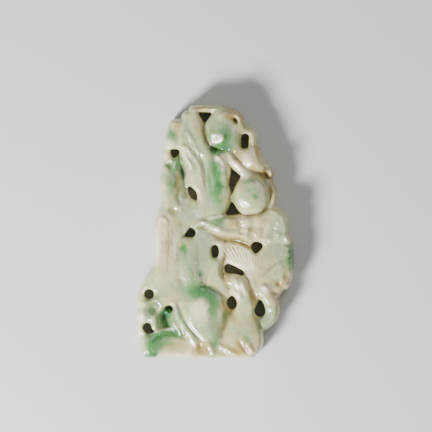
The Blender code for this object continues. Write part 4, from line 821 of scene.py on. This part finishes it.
def add_limb(height, x, y, bulge, softness, route):
    """Raises a round-topped form along a route."""
    curve = smooth_route(route)
    reach = (curve[:, 3].max() + softness) / WALL_SLOPE
    near = window(x, y, curve, curve[:, 2].max() + reach)
    away, place = nearest_on(curve, x[near], y[near])
    steps = np.arange(len(curve))
    half = np.interp(place, steps, curve[:, 2])
    crest = np.interp(place, steps, curve[:, 3])
    across = np.clip(away / half, 0, 1)
    form = crest - half * bulge * (1 - np.sqrt(1 - across ** 2)) - WALL_SLOPE * np.maximum(away - half, 0)
    height[near] = join(height[near], form, softness)


def oval(x, y, middle_x, middle_y, half_x, half_y, turn=0):
    """How far out each place lies in a turned oval: 0 in its middle, 1 on its edge."""
    c, s = math.cos(math.radians(turn)), math.sin(math.radians(turn))
    along = ((x - middle_x) * c + (y - middle_y) * s) / half_x
    across = (-(x - middle_x) * s + (y - middle_y) * c) / half_y
    return np.sqrt(along ** 2 + across ** 2)


def add_dome(height, x, y, middle_x, middle_y, half_x, half_y, turn, top, drop, softness):
    """Raises a round-topped oval form."""
    out = oval(x, y, middle_x, middle_y, half_x, half_y, turn)
    within = np.clip(out, 0, 1)
    beyond = np.maximum(out - 1, 0) * min(half_x, half_y)
    form = top - drop * (1 - np.sqrt(1 - within ** 2)) - WALL_SLOPE * beyond
    height[:] = join(height, form, softness)


def add_patch(height, x, y, top, fall_x, fall_y, drop, width, softness, corners):
    """Raises a form drawn by its outline, with a rounded edge."""
    points = closed_outline(corners)
    reach = (top + softness) / WALL_SLOPE
    near = window(x, y, points, reach)
    away, _ = nearest_on(np.vstack([points, points[:1]]), x[near], y[near])
    within = inside(points, x[near], y[near])
    middle = points.mean(0)
    level = top - fall_x * (x[near] - middle[0]) - fall_y * (y[near] - middle[1])
    inwards = np.clip(np.where(within, away, 0) / width, 0, 1)
    form = level - drop * (1 - np.sqrt(1 - (1 - inwards) ** 2)) - WALL_SLOPE * np.where(within, 0, away)
    height[near] = join(height[near], form, softness)


def add_swell(height, x, y, middle_x, middle_y, half_x, half_y, turn, rise):
    """Swells the surface softly, or hollows it with a negative rise."""
    out = np.clip(oval(x, y, middle_x, middle_y, half_x, half_y, turn), 0, 1)
    height += rise * (1 - out ** 2) ** 2


def add_stroke(height, x, y, half, rise, route):
    """A raised line, or a cut one with a negative rise, that runs out to nothing at its ends."""
    curve = smooth_route(route)
    near = window(x, y, curve, 3 * half)
    away, place = nearest_on(curve, x[near], y[near])
    share = place / (len(curve) - 1)
    fade = np.sqrt(np.clip(STROKE_FADE * share * (1 - share), 0, 1))
    height[near] += rise * fade * np.exp(-((away / (half * (0.5 + 0.5 * fade))) ** 2))


def add_flat(height, x, y, middle_x, middle_y, half_x, half_y, turn):
    """Wears a flat into the surface, at the height it has there."""
    out = oval(x, y, middle_x, middle_y, half_x, half_y, turn)
    near = out < 1
    if not near.any():
        return
    share = np.clip((1 - out[near]) / FLAT_FADE, 0, 1)
    share = FLAT_SHARE * share * share * (3 - 2 * share)
    level = np.average(height[near], weights=1 - out[near])
    plane = level + FLAT_TILT * (x[near] - middle_x + y[near] - middle_y)
    height[near] += share * (plane - height[near])


def fan_leaf(x, y):
    """Height of the fan leaf, without its fine ribs."""
    away_x, away_y = x - FAN_ROOT[0], y - FAN_ROOT[1]
    radius = np.hypot(away_x, away_y)
    angle = np.degrees(np.arctan2(away_x, away_y))
    reach = np.interp(angle, FAN_ANGLES, FAN_REACH)
    body = FAN_HEIGHT + FAN_SWELL * np.sin(np.clip(radius / max(FAN_REACH), 0, 1) * math.pi)
    body += FAN_RISE * np.exp(-(((angle - FAN_RISE_ANGLE) / FAN_RISE_SPREAD) ** 2))
    body -= FAN_FALL * (angle - FAN_MIDDLE) ** 2 + FAN_LEFT_FALL * np.maximum(FAN_LEFT_FOLD - angle, 0)
    beyond = FAN_EDGE_SLOPE * np.maximum(radius - reach, 0)
    aside = FAN_SIDE_FALL * (np.maximum(FAN_FIRST - angle, 0) + np.maximum(angle - FAN_LAST, 0))
    return body - beyond - aside


def carved_front(x, y, sizes):
    """Height of the worked face above the back, in plan millimetres."""
    height = np.full(x.shape, sizes.ground / DEPTH)
    for form in LIMBS.values():
        add_limb(height, x, y, *form)
    for form in DOMES.values():
        add_dome(height, x, y, *form)
    for form in PATCHES.values():
        add_patch(height, x, y, *form)
    height = join(height, fan_leaf(x, y), FAN_JOIN)
    for form in SWELLS.values():
        add_swell(height, x, y, *form)
    for half, rise, route in RIDGES.values():
        add_stroke(height, x, y, half, rise, route)
    for half, depth, route in GROOVES.values():
        add_stroke(height, x, y, half, -depth, route)
    for *place, depth in HOLLOWS.values():
        add_swell(height, x, y, *place, -depth)
    for place in FLATS.values():
        add_flat(height, x, y, *place)
    return np.clip(height, sizes.thinnest / DEPTH, PLAN_THICKNESS)


def clouds(x, y, z, scale, seed):
    """Soft seeded noise between -1 and 1 at each place, in plan millimetres."""
    shift = Vector([seed * step for step in SEED_STEPS])
    return np.array([noise.noise(Vector((a, b, c)) * scale + shift) for a, b, c in zip(x, y, z)])


def side_of(points, place, x, y):
    """On which side of a chain each place lies: 1 to its left, -1 to its right."""
    first = np.minimum(place.astype(int), len(points) - 2)
    along = points[first + 1, :2] - points[first, :2]
    off_x, off_y = x - points[first, 0], y - points[first, 1]
    return np.where(along[:, 0] * off_y - along[:, 1] * off_x > 0, 1.0, -1.0)


def cut_band(depth_cut, x, y, wander_by, band, pitch, depth, wander, route):
    """Fine lines along a route, cut as shallow valleys."""
    curve = smooth_route(route)
    near = window(x, y, curve, band + 1)
    away, place = nearest_on(curve, x[near], y[near])
    across = away * side_of(curve, place, x[near], y[near]) + wander * wander_by[near]
    share = place / (len(curve) - 1)
    fade = np.clip(BAND_END_FADE * share * (1 - share), 0, 1)
    fade *= np.clip((band - away) / (BAND_SIDE_FADE * band), 0, 1)
    valley = (0.5 + 0.5 * np.cos(2 * math.pi * across / pitch)) ** 2
    uneven = np.clip(BAND_MEAN + BAND_UNEVEN * wander_by[near], *BAND_LIMITS)
    depth_cut[near] += depth * fade * valley * uneven


def cut_fan(depth_cut, x, y, wander_by, root, first, last, near_end, far_end, pitch, depth):
    """Fine ribs that spread from a root."""
    away_x, away_y = x - root[0], y - root[1]
    radius = np.hypot(away_x, away_y)
    angle = np.degrees(np.arctan2(away_x, away_y)) + RIB_WANDER * wander_by
    inwards = np.minimum(angle - first, last - angle)
    along = np.minimum(radius - near_end, far_end - radius)
    under = np.interp(x, LEAF_TOP_X, LEAF_TOP_Y) - y
    fade = np.clip(inwards / RIB_FADE_ANGLE, 0, 1) * np.clip(along / RIB_FADE_LENGTH, 0, 1)
    fade *= np.clip(under / RIB_FADE_TOP, 0, 1)
    valley = (0.5 + 0.5 * np.cos(2 * math.pi * angle / pitch)) ** RIB_SHARPNESS
    depth_cut += depth * fade * valley * (1 + RIB_UNEVEN * wander_by)


def point_tree(outlines):
    """A search tree over the points of some outlines."""
    points = np.vstack(outlines)
    tree = KDTree(len(points))
    for k, (x, y) in enumerate(points):
        tree.insert((x, y, 0), k)
    tree.balance()
    return tree


def nearest_points(tree, x, y):
    """The nearest outline point to each place, and its distance."""
    found = [tree.find((a, b, 0)) for a, b in zip(x, y)]
    places = np.array([(point.x, point.y) for point, _, _ in found])
    return places, np.array([away for _, _, away in found])


def round_over(x, y, places, away, width):
    """Crowds the mesh towards a rounded edge, and gives each place's share of the full height."""
    share = np.clip(away / width, 0, 1)
    kept = width * (1 - np.cos(share * math.pi / 2))
    pull = np.where(away > 1e-9, np.where(share < 1, kept / np.maximum(away, 1e-9), 1), 1)
    x[:] = places[:, 0] + (x - places[:, 0]) * pull
    y[:] = places[:, 1] + (y - places[:, 1]) * pull
    return np.sin(share * math.pi / 2)


def link(name, mesh):
    """Puts a mesh into the scene as an object."""
    piece = bpy.data.objects.new(name, mesh)
    bpy.context.scene.collection.objects.link(piece)
    return piece


def remade(mesh, cell):
    """The same shape as an even mesh."""
    piece = link("rough", mesh)
    remesh = piece.modifiers.new("even mesh", "REMESH")
    remesh.mode = "VOXEL"
    remesh.voxel_size = cell
    bpy.context.view_layer.update()
    fine = bpy.data.meshes.new_from_object(piece.evaluated_get(bpy.context.evaluated_depsgraph_get()))
    bpy.data.objects.remove(piece)
    return fine


def pierced_slab(thickness):
    """The flat slab, cut to its outline and drilled through."""
    shape = bmesh.new()
    for corners in [OUTLINE, *HOLES.values()]:
        ring = [shape.verts.new((x * PLAN, y * PLAN, 0)) for x, y in closed_outline(corners)]
        for a, b in zip(ring, ring[1:] + ring[:1]):
            shape.edges.new((a, b))
    bmesh.ops.triangle_fill(shape, use_beauty=True, edges=shape.edges[:], normal=(0, 0, 1))
    raised = bmesh.ops.extrude_face_region(shape, geom=shape.faces[:], use_keep_orig=True)["geom"]
    moved = [item for item in raised if isinstance(item, bmesh.types.BMVert)]
    bmesh.ops.translate(shape, verts=moved, vec=(0, 0, thickness))
    bmesh.ops.recalc_face_normals(shape, faces=shape.faces[:])
    mesh = bpy.data.meshes.new("slab")
    shape.to_mesh(mesh)
    shape.free()
    return mesh


def points_of(mesh):
    """The mesh's points, a row each."""
    flat = np.empty(len(mesh.vertices) * 3)
    mesh.vertices.foreach_get("co", flat)
    return flat.reshape(-1, 3)


def rough_out(mesh, thickness, sizes):
    """Moves the slab's points to the carved front, the flat back and the rounded edges."""
    flat = points_of(mesh)
    x, y = flat[:, 0] / PLAN, flat[:, 1] / PLAN
    level = np.clip(flat[:, 2] / thickness, 0, 1)
    base = closed_outline(OUTLINE)
    rim_tree = point_tree([base[base[:, 1] > 1e-6]])
    hole_tree = point_tree([closed_outline(corners) for corners in HOLES.values()])
    foot = y < FOOT_CELLS * sizes.rough_cell / PLAN
    places, away = nearest_points(rim_tree, x, y)
    width = (sizes.back_round + level * (sizes.front_round - sizes.back_round)) / PLAN
    risen = round_over(x, y, places, away, width)
    places, away = nearest_points(hole_tree, x, y)
    opened = round_over(x, y, places, away, np.full(x.shape, sizes.hole_round / PLAN))
    y[foot] = 0
    front = carved_front(x, y, sizes)
    edge_low, edge_high = sizes.back_round / DEPTH, (sizes.back_round + sizes.edge_wall) / DEPTH
    hole_drop = sizes.hole_round / DEPTH * (1 - opened)
    foot_drop = np.maximum(sizes.foot_bevel - y * PLAN, 0) / DEPTH
    top = edge_high + (front - edge_high) * risen - hole_drop * risen - foot_drop
    bottom = np.maximum(edge_low * (1 - risen), np.maximum(hole_drop * BACK_HOLE_SHARE, foot_drop))
    height = bottom + level * (np.maximum(top, edge_high) - bottom)
    mesh.vertices.foreach_set("co", np.stack([x * PLAN, y * PLAN + LOW.y, height * DEPTH], -1).ravel())
    mesh.update()


def softened(mesh, steps):
    """Rubs the mesh smooth."""
    shape = bmesh.new()
    shape.from_mesh(mesh)
    for _ in range(steps):
        bmesh.ops.smooth_vert(
            shape, verts=shape.verts, factor=0.5, use_axis_x=True, use_axis_y=True, use_axis_z=True
        )
    shape.to_mesh(mesh)
    shape.free()
    mesh.update()


def hollowness(mesh, steps):
    """How far each point lies below its surroundings, in millimetres."""
    ends = np.empty(len(mesh.edges) * 2, int)
    mesh.edges.foreach_get("vertices", ends)
    ends = ends.reshape(-1, 2)
    z = points_of(mesh)[:, 2] * 1000
    level, count = z.copy(), len(z)
    degree = np.bincount(ends.ravel(), minlength=count)
    for _ in range(steps):
        total = np.bincount(ends[:, 0], level[ends[:, 1]], count)
        total += np.bincount(ends[:, 1], level[ends[:, 0]], count)
        level = total / degree
    return level - z


def incise(mesh):
    """Cuts the fine lines into the worked face, and leaves the faint waves of hand polishing."""
    points = points_of(mesh)
    normals = np.empty(len(points) * 3)
    mesh.vertices.foreach_get("normal", normals)
    normals = normals.reshape(-1, 3)
    x, y, z = points[:, 0] / PLAN, (points[:, 1] - LOW.y) / PLAN, points[:, 2] / DEPTH
    facing = np.clip((normals[:, 2] - FACING_FROM) / FACING_OVER, 0, 1)
    front = facing > 0
    cut = np.zeros(front.sum())
    fx, fy = x[front], y[front]
    wander_by = clouds(fx, fy, 0 * fx, WANDER_SCALE, WANDER_SEED)
    for form in LINE_BANDS.values():
        cut_band(cut, fx, fy, wander_by, *form)
    for form in RIB_FANS.values():
        cut_fan(cut, fx, fy, wander_by, *form)
    worn = z[front]
    for place in SMALL_FLATS.values():
        add_flat(worn, fx, fy, *place)
    points[front, 2] += (worn - z[front]) * facing[front] * DEPTH
    waves = sum(height * clouds(fx, fy, z[front], scale, seed) for height, scale, seed in WAVES)
    points[front] += normals[front] * ((waves - cut) * facing[front] * DEPTH)[:, None]
    mesh.vertices.foreach_set("co", points.ravel())
    mesh.update()
    depth = np.zeros(len(points))
    depth[front] = cut * facing[front]
    return depth


def patchwork(x, y, patches):
    """How much of a colour its patches give to each point."""
    share = np.zeros(len(x))
    for middle_x, middle_y, half_x, half_y, strength, *turn in patches:
        out = oval(x, y, middle_x, middle_y, half_x, half_y, *turn) / PATCH_REACH
        share = 1 - (1 - share) * (1 - strength * (1 - np.clip(out, 0, 1) ** 2) ** PATCH_FADE)
    return share


def mottle_with_painted_light(mesh, cuts):
    """Writes how much of each colour every point of the stone holds, painted shade and highlights too."""
    points = points_of(mesh)
    plan_x, plan_y, z = points[:, 0] / PLAN, (points[:, 1] - LOW.y) / PLAN, points[:, 2] / DEPTH
    x = plan_x + sum(far * clouds(plan_x, plan_y, z, scale, seed) for far, scale, seed, _ in WARPS)
    y = plan_y + sum(far * clouds(x, plan_y, z, scale, seed) for far, scale, _, seed in WARPS)

    def keep(name, share):
        mesh.attributes.new(name, "FLOAT", "POINT").data.foreach_set("value", share)

    shares = {name: patchwork(x, y, patches) for name, patches in PATCHES_OF_COLOUR.items()}
    for name, share in shares.items():
        keep(name, share)
    green = np.maximum(shares["emerald"], shares["deep green"])
    # Brown residue and painted shade along the grooves
    lines = np.zeros(len(points))
    for half, depth, route in GROOVES.values():
        filled = GROOVE_RESIDUE_AND_SHADE * min(depth, GROOVE_DEEPEST)
        add_stroke(lines, plan_x, plan_y, GROOVE_FILLED * half, filled, route)
    # Crest white: rubbed wear and painted highlight on convex places and on the light ridges
    below = hollowness(mesh, FINE_STEPS)
    crest = np.clip(-below / CREST_HEIGHT - CREST_START, 0, 1)
    for name in LIGHT_RIDGES:
        half, _, route = RIDGES[name]
        add_stroke(crest, plan_x, plan_y, half, RIDGE_WHITE_AND_HIGHLIGHT, route)
    keep("crest", np.clip(crest, 0, 1))
    # Brown residue and painted shade, darker in fine and wide hollows
    fine = FINE_RESIDUE_AND_SHADE * np.clip(below / FINE_DEPTH, 0, 1)
    wide = WIDE_RESIDUE_AND_SHADE * np.clip(hollowness(mesh, WIDE_STEPS) / WIDE_DEPTH, 0, 1)
    residue = np.clip(fine + wide + cuts + lines, 0, 1) * (1 - GREEN_KEEPS_OFF * green)
    keep("residue", residue * (1 - patchwork(x, y, FREE_OF_RESIDUE_AND_SHADE)))


def fit_to_box(mesh):
    """Stretches the mesh by a hair, so that it fills the frame's box."""
    points = points_of(mesh)
    own_low, own_high = points.min(0), points.max(0)
    for axis in range(3):
        span = own_high[axis] - own_low[axis]
        wanted = HIGH[axis] - LOW[axis]
        points[:, axis] = LOW[axis] + (points[:, axis] - own_low[axis]) * wanted / span
    mesh.vertices.foreach_set("co", points.ravel())
    mesh.update()


def mix_in(tree, below, colour, share):
    """A colour laid by its share over what is below it, a plain colour or a socket."""
    mix = tree.nodes.new("ShaderNodeMix")
    mix.data_type = "RGBA"
    mix.clamp_factor = True
    tree.links.new(share, mix.inputs["Factor"])
    if isinstance(below, bpy.types.NodeSocket):
        tree.links.new(below, mix.inputs["A"])
    else:
        mix.inputs["A"].default_value = (*below, 1)
    mix.inputs["B"].default_value = (*colour, 1)
    return mix.outputs["Result"]


def stone_noise(tree, scale, detail, roughness):
    """A noise that runs through the stone."""
    place = tree.nodes.new("ShaderNodeTexCoord")
    pattern = tree.nodes.new("ShaderNodeTexNoise")
    pattern.inputs["Scale"].default_value = scale
    pattern.inputs["Detail"].default_value = detail
    pattern.inputs["Roughness"].default_value = roughness
    tree.links.new(place.outputs["Object"], pattern.inputs["Vector"])
    return pattern.outputs["Fac"]


def ramp(tree, value, low, high, to_low=0, to_high=1):
    """A value eased from one range to another."""
    span = tree.nodes.new("ShaderNodeMapRange")
    span.interpolation_type = "SMOOTHSTEP"
    for name, number in (("From Min", low), ("From Max", high), ("To Min", to_low), ("To Max", to_high)):
        span.inputs[name].default_value = number
    tree.links.new(value, span.inputs["Value"])
    return span.outputs["Result"]


def held(tree, name):
    """What the mesh's points hold of one colour."""
    attribute = tree.nodes.new("ShaderNodeAttribute")
    attribute.attribute_name = name
    return attribute.outputs["Fac"]


def ragged(tree, name, grain):
    """A colour's share with its edge broken up by the grain."""
    scaled = tree.nodes.new("ShaderNodeMath")
    scaled.operation = "MULTIPLY_ADD"
    tree.links.new(grain, scaled.inputs[0])
    scaled.inputs[1].default_value = PATCH_RAGGED
    scaled.inputs[2].default_value = -0.5 * PATCH_RAGGED
    summed = tree.nodes.new("ShaderNodeMath")
    summed.operation = "ADD"
    tree.links.new(held(tree, name), summed.inputs[0])
    tree.links.new(scaled.outputs[0], summed.inputs[1])
    return ramp(tree, summed.outputs[0], *PATCH_RAMP)


def jade(colours):
    """Mottled jade with painted shade and highlights, polished and a little translucent."""
    material = bpy.data.materials.new("jade")
    material.use_nodes = True
    tree = material.node_tree
    shader = tree.nodes["Principled BSDF"]
    noises = {name: stone_noise(tree, *look) for name, look in NOISES.items()}
    grain = noises["grain"]

    colour = colours.cream
    for name, pattern, low, high, most in LAYERS:
        colour = mix_in(tree, colour, getattr(colours, name), ramp(tree, noises[pattern], low, high, 0, most))
    for name in PATCH_ORDER:
        colour = mix_in(tree, colour, getattr(colours, name.replace(" ", "_")), ragged(tree, name, grain))
    # Rubbed white and painted highlights on the crests
    rubbed_and_highlit = ramp(tree, held(tree, "crest"), 0, 1, 0, CREST_WHITE_AND_HIGHLIGHT)
    colour = mix_in(tree, colour, colours.white, rubbed_and_highlit)
    # Brown residue and painted shade in the hollows and grooves
    waxed_and_shaded = ramp(tree, held(tree, "residue"), RESIDUE_AND_SHADE_START, 1, 0, RESIDUE_AND_SHADE_MOST)
    colour = mix_in(tree, colour, colours.residue, waxed_and_shaded)
    tree.links.new(colour, shader.inputs["Base Color"])

    dullness = [colours.roughness + step for step in DULLNESS_SPREAD]
    tree.links.new(ramp(tree, grain, *GRAIN_RAMP, *dullness), shader.inputs["Roughness"])
    shader.inputs["Metallic"].default_value = 0
    shader.inputs["IOR"].default_value = REFRACTION
    shader.inputs["Subsurface Weight"].default_value = colours.translucence
    shader.inputs["Subsurface Radius"].default_value = SINKING_LIGHT
    shader.inputs["Subsurface Scale"].default_value = SINKING_DEPTH
    bump = tree.nodes.new("ShaderNodeBump")
    bump.inputs["Strength"].default_value = PIT_STRENGTH
    bump.inputs["Distance"].default_value = PIT_DEPTH
    tree.links.new(grain, bump.inputs["Height"])
    tree.links.new(bump.outputs["Normal"], shader.inputs["Normal"])
    return material


class JADE_OT_carve(bpy.types.Operator):
    """Carve the pierced stone over the frame's solid"""

    bl_idname = "jade.carve"
    bl_label = "Carve the stone"

    def execute(self, context):
        sizes = context.scene.stone_sizes
        thickness = HIGH.z - LOW.z
        mesh = remade(pierced_slab(thickness), sizes.rough_cell)
        rough_out(mesh, thickness, sizes)
        softened(mesh, ROUGH_RUBS)
        mesh = remade(mesh, sizes.fine_cell)
        softened(mesh, FINE_RUBS)
        fit_to_box(mesh)
        mottle_with_painted_light(mesh, incise(mesh))
        mesh.name = "jade carving"
        mesh.materials.clear()
        mesh.materials.append(jade(context.scene.stone_colours))
        mesh.shade_smooth()
        carving = link("carved_jade", mesh)
        mesh.calc_loop_triangles()
        fewer = carving.modifiers.new("fewer faces", "DECIMATE")
        fewer.ratio = min(1, sizes.triangles / len(mesh.loop_triangles))
        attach(carving, "root")
        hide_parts(NODE)
        return {"FINISHED"}


def pale_table(look):
    """The table's plain matt paint."""
    material = bpy.data.materials.new("pale table")
    material.use_nodes = True
    shader = material.node_tree.nodes["Principled BSDF"]
    shader.inputs["Base Color"].default_value = (*look.table, 1)
    shader.inputs["Roughness"].default_value = 0.7
    return material


def softbox(name, place, size, power):
    """A soft square light that looks at the carving."""
    lamp = bpy.data.lights.new(name, "AREA")
    lamp.size = size
    lamp.energy = power
    light = bpy.data.objects.new(name, lamp)
    bpy.context.scene.collection.objects.link(light)
    light.location = place
    light.rotation_euler = (-Vector(place)).to_track_quat("-Z", "Y").to_euler()


class JADE_OT_stage(bpy.types.Operator):
    """Lay the table, hang the lights and set the camera"""

    bl_idname = "jade.stage"
    bl_label = "Lay the table"

    def execute(self, context):
        look = context.scene.table_look
        shape = bmesh.new()
        bmesh.ops.create_grid(shape, x_segments=1, y_segments=1, size=TABLE_HALF)
        bmesh.ops.translate(shape, verts=shape.verts, vec=(0, 0, LOW.z - TABLE_GAP))
        mesh = bpy.data.meshes.new("table")
        shape.to_mesh(mesh)
        shape.free()
        mesh.materials.append(pale_table(look))
        link("table", mesh)
        for name, place, size in LIGHTS:
            softbox(name, place, size, getattr(look, name))
        world = bpy.data.worlds.new("studio")
        world.use_nodes = True
        background = world.node_tree.nodes["Background"]
        background.inputs["Color"].default_value = SKY_COLOUR
        background.inputs["Strength"].default_value = look.sky
        context.scene.world = world
        camera = bpy.data.cameras.new("camera")
        camera.sensor_width = SENSOR
        camera.lens = SENSOR * look.camera_height / (FRAME_PIXELS * PIXEL)
        camera.clip_start = 0.01
        view = bpy.data.objects.new("camera", camera)
        context.scene.collection.objects.link(view)
        middle_y = (LOW.y + HIGH.y) / 2
        height = look.camera_height + MIDDLE_HEIGHT
        view.location = (-MIDDLE_X * PIXEL, middle_y - MIDDLE_Y * PIXEL, height)
        context.scene.camera = view
        return {"FINISHED"}


class JADE_PT_panel(bpy.types.Panel):
    """Lists the steps of the jade carving"""

    bl_label = "Jade Carving"
    bl_idname = "JADE_PT_panel"
    bl_space_type = "VIEW_3D"
    bl_region_type = "UI"
    bl_category = "Jade Carving"

    def draw(self, context):
        for group in (context.scene.stone_sizes, context.scene.stone_colours, context.scene.table_look):
            box = self.layout.box()
            for name in group.__annotations__:
                box.prop(group, name)
        self.layout.operator(JADE_OT_carve.bl_idname)
        self.layout.operator(JADE_OT_stage.bl_idname)


CLASSES = (StoneSizes, StoneColours, TableLook, JADE_OT_carve, JADE_OT_stage, JADE_PT_panel)


def register():
    for item in CLASSES:
        bpy.utils.register_class(item)
    bpy.types.Scene.stone_sizes = PointerProperty(type=StoneSizes)
    bpy.types.Scene.stone_colours = PointerProperty(type=StoneColours)
    bpy.types.Scene.table_look = PointerProperty(type=TableLook)


def unregister():
    del bpy.types.Scene.table_look
    del bpy.types.Scene.stone_colours
    del bpy.types.Scene.stone_sizes
    for item in reversed(CLASSES):
        bpy.utils.unregister_class(item)


def main():
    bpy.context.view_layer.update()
    register()
    bpy.ops.jade.carve()
    bpy.ops.jade.stage()


if __name__ == "__main__":
    main()
